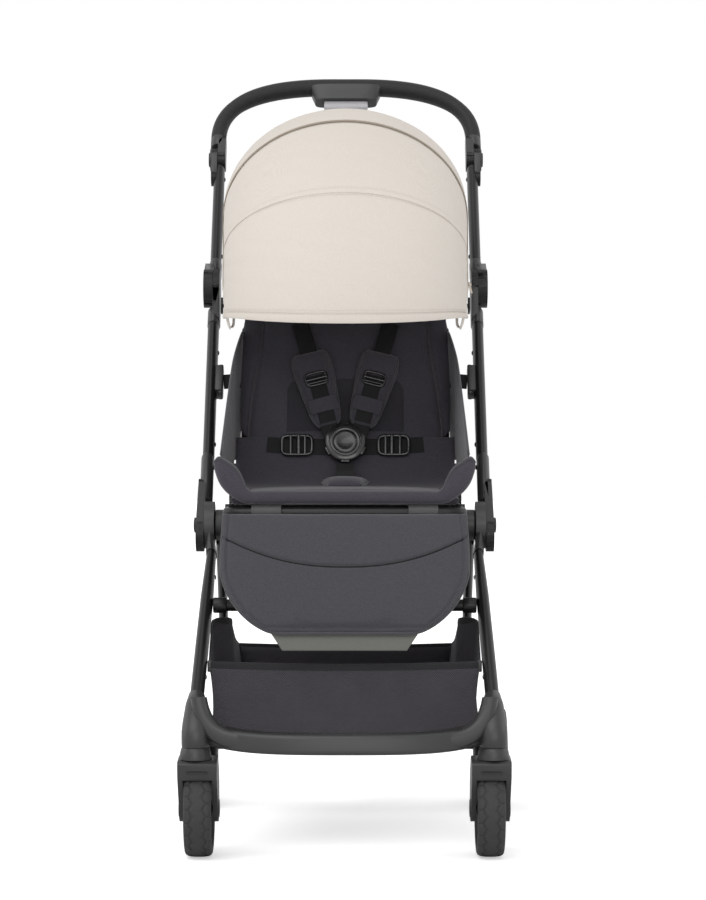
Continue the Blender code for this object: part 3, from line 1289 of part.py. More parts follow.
def main():
    start_scene()
    add_body("front_frame", Vector((0, 0, 0)))
    add_body("lower_push", MAIN_PIVOT, "front_frame")
    add_body("upper_push", ELBOW_PIVOT, "lower_push")
    add_body("handlebar", HANDLE_PIVOT, "upper_push")
    add_body("fold_trigger", HANDLE_TOP, "handlebar")
    add_body("rear_frame", MAIN_PIVOT, "front_frame")
    add_body("brake_pedal", REAR_CROSS, "rear_frame")
    add_body("backrest", RECLINE_PIVOT, "front_frame")
    add_body("buckle_button", on_back(0.031, BUCKLE_OUT), "backrest")
    add_body("legrest", LEGREST_PIVOT, "front_frame")
    for bow in ("front_bow", "forward_middle_bow", "rear_middle_bow"):
        add_body(bow, CANOPY_PIVOT, "backrest")
    front_bar()
    cross_tube()
    basket()
    seat_frame()
    seat_soft()
    back_skirt()
    rear_axle()
    brake_pedal()
    handlebar()
    release_housing()
    backrest_frame()
    backrest_soft()
    harness()
    canopy_fabric()
    legrest()
    for layer, (label, body) in enumerate((
        ("canopy_rear_bow", "backrest"), ("canopy_rear_middle_bow", "rear_middle_bow"),
        ("canopy_forward_middle_bow", "forward_middle_bow"), ("canopy_front_bow", "front_bow"),
    )):
        canopy_bow(label, layer, body)
    for name, side in both_sides():
        add_body(name + "_caster", at_x(STEM, side * STEM_X), "front_frame")
        wheel_at = Vector((side * FRONT_WHEEL_X, 0, FRONT_WHEEL_RADIUS))
        add_body(name + "_front_wheel", wheel_at, name + "_caster")
        add_body(name + "_rear_wheel", at_x(REAR_AXLE, side * REAR_WHEEL_X), "rear_frame")
        add_body(name + "_tilt_button", at_x(HANDLE_PIVOT, side * (HANDLE_X + 0.0082)), "upper_push")
        front_leg(name, side)
        leg_hub(name, side)
        caster(name, side)
        rear_leg(name, side)
        wheel(name + "_rear", name + "_rear_wheel", at_x(REAR_AXLE, side * REAR_WHEEL_X),
              REAR_WHEEL_RADIUS, REAR_WHEEL_WIDTH)
        push_knuckle(name, side)
        lower_push_tube(name, side)
        upper_push_tube(name, side)
        side_cloth(name, side)


main()
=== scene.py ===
"""The looks of a compact folding stroller, in the order in which it is put together.

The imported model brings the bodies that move. Lengths are in metres, +Z is up and +Y runs back.
"""

import math

import bmesh
import bpy
from mathutils import Matrix, Vector


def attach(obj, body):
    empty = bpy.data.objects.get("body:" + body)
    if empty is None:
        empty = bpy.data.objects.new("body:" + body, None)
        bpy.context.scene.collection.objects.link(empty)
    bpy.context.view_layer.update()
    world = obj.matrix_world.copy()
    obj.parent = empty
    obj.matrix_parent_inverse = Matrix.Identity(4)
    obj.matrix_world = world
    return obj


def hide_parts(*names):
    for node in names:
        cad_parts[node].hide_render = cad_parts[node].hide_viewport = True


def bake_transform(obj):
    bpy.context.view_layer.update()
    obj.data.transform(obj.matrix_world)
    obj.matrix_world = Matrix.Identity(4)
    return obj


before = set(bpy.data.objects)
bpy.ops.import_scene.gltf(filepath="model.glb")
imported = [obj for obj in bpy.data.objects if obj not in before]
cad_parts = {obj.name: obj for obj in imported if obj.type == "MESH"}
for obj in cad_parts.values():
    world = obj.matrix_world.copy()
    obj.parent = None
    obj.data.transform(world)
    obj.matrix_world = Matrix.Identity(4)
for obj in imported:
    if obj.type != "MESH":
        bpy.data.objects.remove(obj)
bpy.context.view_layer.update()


# The studio: a level camera with a long lens, 3.6 m in front of the front axle, a white room
# and a pale floor. A broad soft key comes from above the camera, a fill from in front reaches under
# the canopy, and two weaker lamps edge the dark tubes from the sides.
scene = bpy.context.scene
scene.view_settings.view_transform = "Standard"
AXLE_Y = -0.3215


def at(y, z, x=0.0):
    """A point given by its distance behind the front axle, its height and its place across."""
    return Vector((x, AXLE_Y + y, z))


camera = bpy.data.objects.new("camera", bpy.data.cameras.new("camera"))
camera.location = at(-3.6, 0.530, 0.011)
camera.rotation_euler = (math.pi / 2, 0, 0)
camera.data.sensor_fit = "VERTICAL"
camera.data.sensor_height = 36
camera.data.lens = 110.4
camera.data.clip_end = 60
scene.collection.objects.link(camera)
scene.camera = camera


def soft_sun(name, strength, angle, aim_from):
    lamp = bpy.data.objects.new(name, bpy.data.lights.new(name, "SUN"))
    lamp.data.energy = strength
    lamp.data.angle = math.radians(angle)
    lamp.rotation_euler = Vector(aim_from).to_track_quat("Z", "Y").to_euler()
    scene.collection.objects.link(lamp)


soft_sun("key_lamp", 1.25, 50, (-0.35, -0.75, 1.0))
soft_sun("left_edge_lamp", 0.35, 30, (-1.0, 0.15, 0.35))
soft_sun("right_edge_lamp", 0.30, 30, (1.0, 0.15, 0.35))
soft_sun("front_fill_lamp", 0.75, 35, (0.08, -1.0, 0.10))


def feed(tree, node, inputs):
    """Joins a node's inputs to the sockets that they are given, and sets those that get a value."""
    for name, value in inputs.items():
        if isinstance(value, bpy.types.NodeSocket):
            tree.links.new(value, node.inputs[name])
        else:
            node.inputs[name].default_value = value


def add_node(tree, kind, inputs=None, **settings):
    """A new shader node with its own settings and its inputs."""
    made = tree.nodes.new("ShaderNode" + kind)
    for name, value in settings.items():
        setattr(made, name, value)
    feed(tree, made, inputs or {})
    return made


def math_node(tree, operation, *values):
    """The result of one sum on values or sockets."""
    return add_node(tree, "Math", dict(enumerate(values)), operation=operation).outputs[0]


def new_material(name, constants):
    """A material with constants on its shader's own inputs, its node tree and its shader."""
    made = bpy.data.materials.new(name)
    made.use_nodes = True
    shader = made.node_tree.nodes["Principled BSDF"]
    feed(made.node_tree, shader, constants)
    return made, made.node_tree, shader


WHITE = (1, 1, 1, 1)
AMBIENT = 0.56
FLOOR_LIFT = 0.46
world = bpy.data.worlds.new("white_room")
world.use_nodes = True
scene.world = world
room = world.node_tree
room.nodes.clear()
path = add_node(room, "LightPath")
shows = math_node(room, "MAXIMUM", path.outputs["Is Camera Ray"], path.outputs["Is Transmission Ray"])
shows = math_node(room, "MAXIMUM", shows, path.outputs["Is Glossy Ray"])
ambient = add_node(room, "Background", {"Color": WHITE, "Strength": AMBIENT})
seen = add_node(room, "Background", {"Color": WHITE})
choose = add_node(room, "MixShader", {0: shows, 1: ambient.outputs[0], 2: seen.outputs[0]})
add_node(room, "OutputWorld", {0: choose.outputs[0]})

floor_shape = bmesh.new()
bmesh.ops.create_grid(floor_shape, x_segments=1, y_segments=1, size=25)
floor_mesh = bpy.data.meshes.new("studio_floor")
floor_shape.to_mesh(floor_mesh)
floor_shape.free()
studio_floor = bpy.data.objects.new("studio_floor", floor_mesh)
studio_floor.location = (0, 0, -0.0006)
scene.collection.objects.link(studio_floor)
floor_paint, tree, shader = new_material("floor_paint", {
    "Base Color": (0.985, 0.985, 0.985, 1), "Roughness": 0.95, "Specular IOR Level": 0.0,
    "Emission Color": WHITE,
})
lift = math_node(tree, "MULTIPLY", add_node(tree, "LightPath").outputs["Is Camera Ray"], FLOOR_LIFT)
feed(tree, shader, {"Emission Strength": lift})
floor_mesh.materials.append(floor_paint)


# Front legs: dark grey coated oval aluminium tubes that splay from the leg hubs down to the
# caster housings, wider at the foot. They slide into a moulded collar at each end and a small
# rivet holds them on the inner side.
SIDES = (("left", -1), ("right", 1))
LEG_TOP = at(0.1745, 0.386, 0.1826)
LEG_BOTTOM = at(0.0150, 0.206, 0.1935)


def mirror_x(point, side=-1):
    return Vector((side * point.x, point.y, point.z))


def section_turn(along):
    """A turn whose Z runs along a tube and whose X stays as near the axle line as it can."""
    along = along.normalized()
    level = Vector((1, 0, 0)) if abs(along.x) < 0.95 else Vector((0, 1, 0))
    across = (level - along * along.dot(level)).normalized()
    return Matrix((across, along.cross(across), along)).transposed()


def signed_power(value, power):
    return math.copysign(abs(value) ** power, value)


def oval_ring(shape, centre, turn, half_width, half_depth, count=36, power=2.0):
    """A ring of edges round a section: power 2 gives an oval, and more gives a squarer one."""
    verts = bmesh.ops.create_circle(shape, segments=count, radius=1.0)["verts"]
    for vert in verts:
        u = signed_power(vert.co.x, 2 / power) * half_width
        v = signed_power(vert.co.y, 2 / power) * half_depth
        vert.co = centre + turn @ Vector((u, v, 0))
    return list({edge for vert in verts for edge in vert.link_edges})


def skin(shape, rings, caps=True, closed=False):
    """Bridges each ring to the next, and joins the two ends to each other or caps them."""
    for low, high in zip(rings, rings[1:]):
        bmesh.ops.bridge_loops(shape, edges=low + high)
    if closed:
        bmesh.ops.bridge_loops(shape, edges=rings[-1] + rings[0])
    elif caps:
        for end in (rings[0], rings[-1]):
            bmesh.ops.edgeloop_fill(shape, edges=end)


def bar(shape, start, end, width, depth, count=36, power=2.0, soft_ends=0.0):
    """A straight oval tube. Soft ends round its two rims."""
    turn = section_turn(end - start)
    along = (end - start).normalized()
    stations = [(0.0, 1.0), (1.0, 1.0)]
    if soft_ends:
        share = soft_ends / (end - start).length
        trim = 1 - 2 * soft_ends / width
        mid = 1 - 0.6 * soft_ends / width
        stations = [(0.0, trim), (share * 0.35, mid), (share, 1.0), (1 - share, 1.0),
                    (1 - share * 0.35, mid), (1.0, trim)]
    length = (end - start).length
    rings = [
        oval_ring(shape, start + along * length * share, turn, width / 2 * scale,
                  depth / 2 * (1 - (1 - scale) * width / depth), count, power)
        for share, scale in stations
    ]
    skin(shape, rings)


def finished(name, shape, paint, body, nodes=(), sharp=38):
    """Makes the piece, merged, facing outwards and smooth, and hangs it on its body."""
    bmesh.ops.remove_doubles(shape, verts=shape.verts, dist=0.000002)
    bmesh.ops.recalc_face_normals(shape, faces=shape.faces)
    mesh = bpy.data.meshes.new(name)
    shape.to_mesh(mesh)
    shape.free()
    mesh.materials.append(paint)
    mesh.shade_smooth()
    mesh.set_sharp_from_angle(angle=math.radians(sharp))
    piece = bpy.data.objects.new(name, mesh)
    scene.collection.objects.link(piece)
    if body:
        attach(piece, body)
    if nodes:
        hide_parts(*nodes)
    return piece


def group_tree(name, inputs, outputs):
    """A shader group with its named number sockets, its input node and its output node."""
    group = bpy.data.node_groups.new(name, "ShaderNodeTree")
    for socket, value in inputs.items():
        made = group.interface.new_socket(name=socket, in_out="INPUT", socket_type="NodeSocketFloat")
        made.default_value = value
    for socket in outputs:
        group.interface.new_socket(name=socket, in_out="OUTPUT", socket_type="NodeSocketFloat")
    return group, group.nodes.new("NodeGroupInput"), group.nodes.new("NodeGroupOutput")


def moulded_grain_group():
    """Fine spark-eroded grain with broad soft patches, for moulded and coated pieces."""
    group, source, out = group_tree("moulded_grain", {"Grain Size": 700.0, "Patch Size": 9.0},
                                    ("Height", "Patch"))
    place = add_node(group, "TexCoord").outputs["Object"]
    fine = add_node(group, "TexNoise", {"Vector": place, "Scale": source.outputs["Grain Size"],
                                        "Detail": 2.0})
    patch = add_node(group, "TexNoise", {"Vector": place, "Scale": source.outputs["Patch Size"],
                                         "Detail": 4.0})
    feed(group, out, {"Height": fine.outputs["Fac"], "Patch": patch.outputs["Fac"]})
    return group


def two_tones(tree, first, second, share):
    """A colour that runs from the first to the second."""
    return add_node(tree, "MixRGB", {"Fac": share, "Color1": (*first, 1),
                                     "Color2": (*second, 1)}).outputs["Color"]


MOULDED_GRAIN = moulded_grain_group()


def painted(name, colour, roughness, metallic=0.0, grain=700.0, bump=0.12, patch=0.06, specular=0.5,
            coat=0.0):
    """Moulded plastic or coated tube: a fine grain, and gloss and tone that drift a little."""
    made, tree, shader = new_material(
        name, {"Metallic": metallic, "Specular IOR Level": specular, "Coat Weight": coat})
    group = add_node(tree, "Group", {"Grain Size": grain}, node_tree=MOULDED_GRAIN)
    drift = group.outputs["Patch"]
    raised = add_node(tree, "Bump", {"Strength": bump, "Distance": 0.0004, "Height": group.outputs["Height"]})
    feed(tree, shader, {
        "Base Color": two_tones(tree, [c * 0.86 for c in colour], [c * 1.14 for c in colour], drift),
        "Roughness": math_node(tree, "MULTIPLY_ADD", drift, patch * 2, roughness - patch),
        "Normal": raised.outputs["Normal"],
    })
    return made


coated_tube = painted("coated_tube", (0.0110, 0.0110, 0.0115), 0.36, 0.15, grain=1100, bump=0.10,
                      specular=0.30)
moulded_black = painted("moulded_black", (0.0300, 0.0303, 0.0308), 0.40, grain=800, bump=0.22,
                        specular=0.40)
rivet_steel = painted("rivet_steel", (0.10, 0.10, 0.11), 0.34, 0.8, grain=1500, bump=0.05)


def rivet(shape, centre, normal, radius=0.0034, height=0.0018):
    """A low domed rivet head."""
    normal = Vector(normal).normalized()
    turn = normal.to_track_quat("Z", "Y").to_matrix()
    rings = []
    for share in (0.0, 0.35, 0.65, 0.88, 0.985):
        low = radius * math.sqrt(1 - share ** 2)
        rings.append(oval_ring(shape, centre + normal * (height * share), turn, low, low, 20))
    skin(shape, rings)


for name, side in SIDES:
    shape = bmesh.new()
    top, foot = mirror_x(LEG_TOP, side), mirror_x(LEG_BOTTOM, side)
    turn = section_turn(foot - top)
    rings = []
    for share, width, depth in ((0, 0.0130, 0.027), (0.15, 0.0152, 0.0278), (0.3, 0.0172, 0.0285),
                                (0.65, 0.0180, 0.0285), (1, 0.0183, 0.0285)):
        rings.append(oval_ring(shape, top.lerp(foot, share), turn, width / 2, depth / 2, 48))
    skin(shape, rings)
    finished(name + "_leg_tube", shape, coated_tube, "front_frame", (name + "_front_leg",))
    shape = bmesh.new()
    for share in (0.16, 0.86):
        spot = top.lerp(foot, share) + turn @ Vector((-side * (0.0079 + 0.0010 * share), 0, 0))
        rivet(shape, spot, (-side, 0, 0))
    finished(name + "_leg_rivets", shape, rivet_steel, "front_frame", ())


# Leg hubs: moulded nylon discs at the main pivot. The pivot pin goes through them and ends in a
# domed head outside the push knuckle; the leg's collar is moulded on in front.
MAIN_PIVOT = at(0.210, 0.4265)


def refined(name, node, paint, body, width=0.0008, segments=2, angle=40):
    """A copy of a solid, merged, its flat faces joined and its hard edges rounded."""
    shape = bmesh.new()
    shape.from_mesh(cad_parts[node].data)
    bmesh.ops.remove_doubles(shape, verts=shape.verts, dist=0.000004)
    bmesh.ops.dissolve_limit(
        shape, angle_limit=math.radians(0.6), verts=shape.verts, edges=shape.edges,
        use_dissolve_boundaries=False, delimit={"NORMAL"},
    )
    piece = finished(name, shape, paint, body, (node,), sharp=angle)
    if width:
        bevel = piece.modifiers.new("rounded edges", "BEVEL")
        bevel.width = width
        bevel.segments = segments
        bevel.limit_method = "ANGLE"
        bevel.angle_limit = math.radians(angle)
        bevel.use_clamp_overlap = True
        bevel.harden_normals = True
    return piece


def drum(shape, centre, radius, x_low, x_high, side=1, count=64, rim=0.0, dish=0.0):
    """A disc across the stroller with a rounded outer rim, slightly domed or dished outside."""
    turn = Matrix(((0, 0, side), (1, 0, 0), (0, side, 0)))
    stations = [(x_low, 1.0), (x_high - rim, 1.0)]
    if rim:
        for k in range(1, 5):
            angle = math.pi / 2 * k / 4
            stations.append((x_high - rim * (1 - math.sin(angle)), 1 - rim / radius * (1 - math.cos(angle))))
    if dish:
        stations.append((x_high + dish, 0.55))
        stations.append((x_high + dish * 1.25, 0.12))
    rings = []
    for x, scale in stations:
        centre_here = Vector((side * x, centre.y, centre.z))
        rings.append(oval_ring(shape, centre_here, turn, radius * scale, radius * scale, count))
    skin(shape, rings)


for name, side in SIDES:
    refined(name + "_hub_moulding", name + "_leg_hub", moulded_black, "front_frame", 0.0012)
    shape = bmesh.new()
    drum(shape, MAIN_PIVOT, 0.0108, 0.2070, 0.2080, side, rim=0.0008, dish=0.0008)
    finished(name + "_pivot_cap", shape, coated_tube, "front_frame", ())


# Front bar: one moulding with the two caster housings, bowed forward between them. Its top face
# carries a strip of fine cross ribs as a foot tread, and its ends sweep up into the legs.
BAR_HALF = 0.176
BAR_BOW = 0.045
BAR_DEPTH = 0.030
BAR_HEIGHT = 0.027
STEM_X = 0.1925
STEM_TOP = 0.1466
STEM_Y = -0.035


def bar_station(share):
    """Centre and across direction of the bar at a share of its half length, minus one to one."""
    bow = BAR_BOW * (1 - abs(share) ** 2.6)
    centre = at(STEM_Y - bow + BAR_DEPTH / 2 - 0.001, 0.1532 + 0.010 * abs(share) ** 5, share * BAR_HALF)
    slope = 2.6 * BAR_BOW * signed_power(share, 1.6) / BAR_HALF
    return centre, Vector((-slope, 1, 0)).normalized()


shape = bmesh.new()
rings = []
for k in range(49):
    share = -1 + k / 24
    centre, across = bar_station(share)
    up = Vector((0, 0.12, 1)).normalized()
    turn = Matrix((across, up, across.cross(up))).transposed()
    rings.append(oval_ring(shape, centre, turn, BAR_DEPTH / 2, BAR_HEIGHT / 2, 40, 5.0))
skin(shape, rings)
for name, side in SIDES:
    foot = at(STEM_Y, STEM_TOP, side * STEM_X)
    top = mirror_x(LEG_BOTTOM, side)
    leg_turn = section_turn(top - mirror_x(LEG_TOP, side))
    flat = Matrix.Identity(3)
    rings = []
    for centre, turn, half_width, half_depth, power in (
        (foot, flat, 0.0172, 0.0190, 2.2),
        (foot + Vector((0, 0, 0.0012)), flat, 0.0180, 0.0200, 2.2),
        (foot + Vector((0, 0, 0.010)), flat, 0.0182, 0.0208, 2.2),
        (foot + Vector((0, 0.001, 0.020)), flat, 0.0182, 0.0213, 2.2),
        (foot + Vector((0, 0.006, 0.031)), flat, 0.0172, 0.0215, 2.2),
    ):
        rings.append(oval_ring(shape, centre, turn, half_width, half_depth, 40, power))
    for share, half_width, half_depth in ((0.45, 0.0143, 0.0200), (0.75, 0.0124, 0.0182),
                                          (1.0, 0.0110, 0.0168)):
        low = foot + Vector((0, 0.010, 0.040))
        rings.append(oval_ring(shape, low.lerp(top, share), leg_turn, half_width, half_depth, 40, 2.1))
    skin(shape, rings)
for side in (-1, 1):
    start = bar_station(side * 0.74)[0]
    corner = at(STEM_Y - 0.004, 0.1560, side * 0.1815)
    end = at(STEM_Y + 0.008, 0.2080, side * 0.1885)
    rings = []
    for k in range(17):
        t = k / 16
        spot = start * (1 - t) ** 2 + corner * 2 * t * (1 - t) + end * t * t
        along = (corner - start) * (1 - t) + (end - corner) * t
        along = along.normalized()
        depth = (Vector((0, 1, 0)) - along * along.y).normalized()
        turn = Matrix((depth.cross(along), depth, along)).transposed()
        rings.append(oval_ring(shape, spot, turn, 0.0128 - 0.0022 * t, 0.0140, 36, 3.2 - 0.8 * t))
    skin(shape, rings)
finished("front_bar_moulding", shape, moulded_black, "front_frame", ("front_bar",))


def block(spot, size, turn=None):
    """The placement of a unit cube that is stretched to a size, turned and moved to its spot."""
    return Matrix.Translation(spot) @ (turn or Matrix()).to_4x4() @ Matrix.Diagonal((*size, 1))


RIB_COUNT = 139
RIB_SPAN = 0.88
RIB_SIZE = (0.00115, 0.0190, 0.0016)
shape = bmesh.new()
for k in range(RIB_COUNT):
    share = -RIB_SPAN + 2 * RIB_SPAN * k / (RIB_COUNT - 1)
    centre, across = bar_station(share)
    along = Vector((across.y, -across.x, 0))
    turn = Matrix((along, across, Vector((0, 0, 1)))).transposed()
    spot = centre + Vector((0, 0, BAR_HEIGHT / 2 - 0.0002)) - across * 0.0010
    bmesh.ops.create_cube(shape, size=1, matrix=block(spot, RIB_SIZE, turn))
finished("front_bar_tread", shape, moulded_black, "front_frame", ())


# Front cross tube: a plain round coated tube between the legs, in front of the basket.
# It is plugged into a low boss on each leg and stiffens the front frame.
shape = bmesh.new()
middle = at(0.1165, 0.3210)
bar(shape, middle + Vector((-0.1773, 0, 0)), middle + Vector((0.1773, 0, 0)), 0.016, 0.016, 40)
for side in (-1, 1):
    bar(shape, middle + Vector((side * 0.1585, 0, 0)), middle + Vector((side * 0.1772, 0, 0)), 0.021, 0.021,
        40, soft_ends=0.0015)
finished("front_cross_rod", shape, coated_tube, "front_frame", ("front_cross_tube",))


# Caster forks: moulded covers that swivel on a steel stem in the housings. Each wraps the wheel,
# with a round neck above, a parting slot across its front and a cap over the wheel pin. The slot is
# a near-black bar on the front of the cover: painted shade that stands in for the shade in the slot.
# Near-black paint for the bar across each fork's front: painted shade of the parting slot.
painted_slot_shade = painted("painted_slot_shade", (0.004, 0.004, 0.004), 0.7, grain=900, bump=0.02)
WHEEL_X = 0.1895
FRONT_RADIUS = 0.063
FRONT_WIDTH = 0.036

for name, side in SIDES:
    refined(name + "_fork_moulding", name + "_caster_fork", moulded_black, name + "_caster",
            0.0022, segments=3, angle=50)
    # A near-black bar across the fork's front: painted shade that stands in for the slot's recess.
    shape = bmesh.new()
    spot = at(-0.0556, 0.1145, side * WHEEL_X)
    slot = block(spot, (0.0270, 0.0030, 0.0024), Matrix.Rotation(-0.17, 4, "X"))
    bmesh.ops.create_cube(shape, size=1, matrix=slot)
    finished(name + "_fork_slot_shade_bar", shape, painted_slot_shade, name + "_caster", ())
    shape = bmesh.new()
    for outward in (-1, 1):
        face = side * WHEEL_X + outward * 0.0255
        turn = Matrix(((0, 0, outward), (1, 0, 0), (0, outward, 0)))
        rings = [
            oval_ring(shape, at(0, FRONT_RADIUS, face + outward * lift), turn, radius, radius, 40)
            for lift, radius in ((-0.001, 0.0120), (0.0006, 0.0120), (0.0011, 0.0112), (0.0013, 0.004))
        ]
        skin(shape, rings)
    finished(name + "_fork_caps", shape, coated_tube, name + "_caster", ())


# Front wheels: a soft rubber tyre with a zigzag groove near each shoulder, pressed on a moulded
# rim with five paired spokes. The rim turns on the fork's pin.
tread_rubber = painted("tread_rubber", (0.030, 0.030, 0.0308), 0.70, grain=1300, bump=0.30, specular=0.40)


def clamp(value):
    return min(1.0, max(0.0, value))


def saw(value):
    """A triangle wave between minus one and one."""
    return 4 * abs(value - math.floor(value + 0.5)) - 1


def turned_ring(shape, pairs, centre, steps, closed=True):
    """Spins (across, radius) pairs round the axle line through a centre."""
    verts = [shape.verts.new(centre + Vector((x, radius, 0))) for x, radius in pairs]
    edges = [shape.edges.new(pair) for pair in zip(verts, verts[1:])]
    if closed:
        edges.append(shape.edges.new((verts[-1], verts[0])))
    bmesh.ops.spin(
        shape, geom=verts + edges, cent=centre, axis=(1, 0, 0), dvec=(0, 0, 0), angle=2 * math.pi,
        steps=steps, use_merge=True, use_normal_flip=False, use_duplicate=False,
    )


TYRE_SHOULDER = 0.0095
GROOVE_DEPTH = 0.0016


def tyre(name, body, node, centre, radius, width, teeth, steps):
    """A tyre with a zigzag groove near each shoulder and short cuts out from its corners."""
    half = width / 2
    inner = radius - 0.014
    pairs = [(half - 0.004, inner), (half - 0.001, inner + 0.0006), (half, inner + 0.003)]
    count = 34
    for k in range(count + 1):
        angle = math.pi * k / count
        lift = math.sin(angle) ** 0.55
        pairs.append((half * signed_power(math.cos(angle), 0.62), radius - TYRE_SHOULDER * (1 - lift)))
    pairs += [(-half, inner + 0.003), (-half + 0.001, inner + 0.0006), (-half + 0.004, inner)]
    shape = bmesh.new()
    turned_ring(shape, pairs, centre, steps)
    for vert in shape.verts:
        across = (vert.co.x - centre.x) / half
        arm = Vector((0, vert.co.y - centre.y, vert.co.z - centre.z))
        if arm.length < inner + 0.006:
            continue
        turn = math.atan2(arm.z, arm.y) / (2 * math.pi) * teeth
        line = 0.50 + 0.13 * saw(turn + (0.25 if across > 0 else 0.75))
        near = abs(abs(across) - line) * half
        groove = 1 - clamp((near - 0.0008) / 0.0009)
        phase = turn + (0.75 if across > 0 else 0.25)
        rung = abs(phase - math.floor(phase + 0.5)) / teeth * 2 * math.pi * radius
        if abs(across) > line:
            groove = max(groove, 1 - clamp((rung - 0.0007) / 0.0009))
        if groove > 0:
            vert.co -= arm.normalized() * GROOVE_DEPTH * groove
    finished(name, shape, tread_rubber, body, (node,), sharp=60)


def rim(name, body, node, centre, radius, width, spokes=5):
    """Outer ring, hub and paired spokes, all running into one another."""
    half = width / 2
    outer = radius - 0.0143
    shape = bmesh.new()
    turned_ring(shape, [
        (half - 0.0045, outer), (half - 0.0035, outer - 0.0012), (half - 0.0040, outer - 0.0030),
        (0.0060, outer - 0.0062), (-0.0060, outer - 0.0062), (-half + 0.0040, outer - 0.0030),
        (-half + 0.0035, outer - 0.0012), (-half + 0.0045, outer),
    ], centre, 96)
    turned_ring(shape, [
        (half - 0.0010, 0.0048), (half - 0.0010, 0.0098), (half - 0.0022, 0.0110), (0.0055, 0.0135),
        (-0.0055, 0.0135), (-half + 0.0022, 0.0110), (-half + 0.0010, 0.0098), (-half + 0.0010, 0.0048),
    ], centre, 64)
    reach = outer - 0.0050
    for k in range(spokes):
        for fork in (-1, 1):
            angle = 2 * math.pi * k / spokes
            start = Vector((0, math.cos(angle + fork * 0.22) * 0.0115,
                            math.sin(angle + fork * 0.22) * 0.0115))
            end = Vector((0, math.cos(angle + fork * 0.17) * reach, math.sin(angle + fork * 0.17) * reach))
            along = (end - start).normalized()
            turn = Matrix((Vector((1, 0, 0)), along.cross(Vector((1, 0, 0))), along)).transposed()
            rings = [
                oval_ring(shape, centre + start.lerp(end, share), turn, half_w, half_d, 16, 3.5)
                for share, half_w, half_d in ((0, 0.0080, 0.0030), (0.5, 0.0062, 0.0021), (1, 0.0060, 0.0025))
            ]
            skin(shape, rings)
    finished(name, shape, moulded_black, body, (node,))


for name, side in SIDES:
    wheel_centre = at(0, FRONT_RADIUS, side * WHEEL_X)
    body = name + "_front_wheel"
    tyre(name + "_front_tread", body, name + "_front_tyre", wheel_centre, FRONT_RADIUS, FRONT_WIDTH, 22, 352)
    rim(name + "_front_spokes", body, name + "_front_rim", wheel_centre, FRONT_RADIUS, FRONT_WIDTH)


# Rear legs: oval coated tubes from the main pivot, bent outwards to the wheels. Each leg has a
# moulded eye at both ends, and the wheel's pin, closed by a cap, is pressed into the lower one.
REAR_RADIUS = 0.0725
REAR_WIDTH = 0.034
REAR_AXLE = at(0.530, REAR_RADIUS)
REAR_LEG_X = 0.17255
REAR_FOOT_X = 0.19765
REAR_WHEEL_X = 0.2225
for name, side in SIDES:
    shape = bmesh.new()
    lean = (REAR_AXLE - MAIN_PIVOT).normalized()
    turn = Matrix(((1, 0, 0), (0, lean.z, -lean.y), (0, lean.y, lean.z))).transposed()
    rings = []
    for share, x in ((0.02, 0.17255), (0.36, 0.17330), (0.42, 0.17390), (0.48, 0.17520), (0.54, 0.17680),
                     (0.60, 0.17930), (0.98, 0.19660)):
        centre = MAIN_PIVOT.lerp(REAR_AXLE, share) + Vector((side * x, 0, 0))
        rings.append(oval_ring(shape, centre, turn, 0.00655, 0.0135, 40))
    skin(shape, rings)
    finished(name + "_rear_leg_tube", shape, coated_tube, "rear_frame", (name + "_rear_leg",))
    shape = bmesh.new()
    for centre, radius, x in ((MAIN_PIVOT, 0.0215, side * REAR_LEG_X),
                              (REAR_AXLE, 0.0185, side * REAR_FOOT_X)):
        turned_ring(shape, [
            (x + 0.0062, 0.0045), (x + 0.0066, radius - 0.002), (x + 0.0050, radius), (x - 0.0050, radius),
            (x - 0.0066, radius - 0.002), (x - 0.0062, 0.0045),
        ], Vector((0, centre.y, centre.z)), 64)
    finished(name + "_rear_leg_eyes", shape, moulded_black, "rear_frame", ())
    shape = bmesh.new()
    outside = REAR_WHEEL_X + 0.017
    pin = [
        (REAR_FOOT_X, 0.0), (REAR_FOOT_X, 0.0090), (REAR_WHEEL_X - 0.0163, 0.0090),
        (REAR_WHEEL_X - 0.0163, 0.0045), (outside - 0.0003, 0.0045), (outside - 0.0003, 0.0085),
        (outside + 0.0015, 0.0085), (outside + 0.0024, 0.0075), (outside + 0.0030, 0.0055),
        (outside + 0.0031, 0.0),
    ]
    turned_ring(shape, [(side * x, r) for x, r in pin], REAR_AXLE, 48, closed=False)
    finished(name + "_rear_wheel_pin", shape, coated_tube, "rear_frame", ())


# Rear cross tube: a round coated tube a little above the wheel pins, its ends set into the legs.
REAR_CROSS = at(0.5119, 0.0925)
shape = bmesh.new()
half = [(0.0, 0.008), (REAR_FOOT_X - 0.0004, 0.008), (REAR_FOOT_X, 0.0076), (REAR_FOOT_X, 0.0)]
turned_ring(shape, [(-x, r) for x, r in reversed(half)][:-1] + half, REAR_CROSS, 48, closed=False)
finished("rear_cross_tube", shape, coated_tube, "rear_frame", ("rear_axle",))


# Rear wheels: like the front ones, a little larger. They turn on the pins that are pressed into
# the rear legs.
for name, side in SIDES:
    wheel_centre = REAR_AXLE + Vector((side * REAR_WHEEL_X, 0, 0))
    body = name + "_rear_wheel"
    tyre(name + "_rear_tread", body, name + "_rear_tyre", wheel_centre, REAR_RADIUS, REAR_WIDTH, 26, 416)
    rim(name + "_rear_spokes", body, name + "_rear_rim", wheel_centre, REAR_RADIUS, REAR_WIDTH)


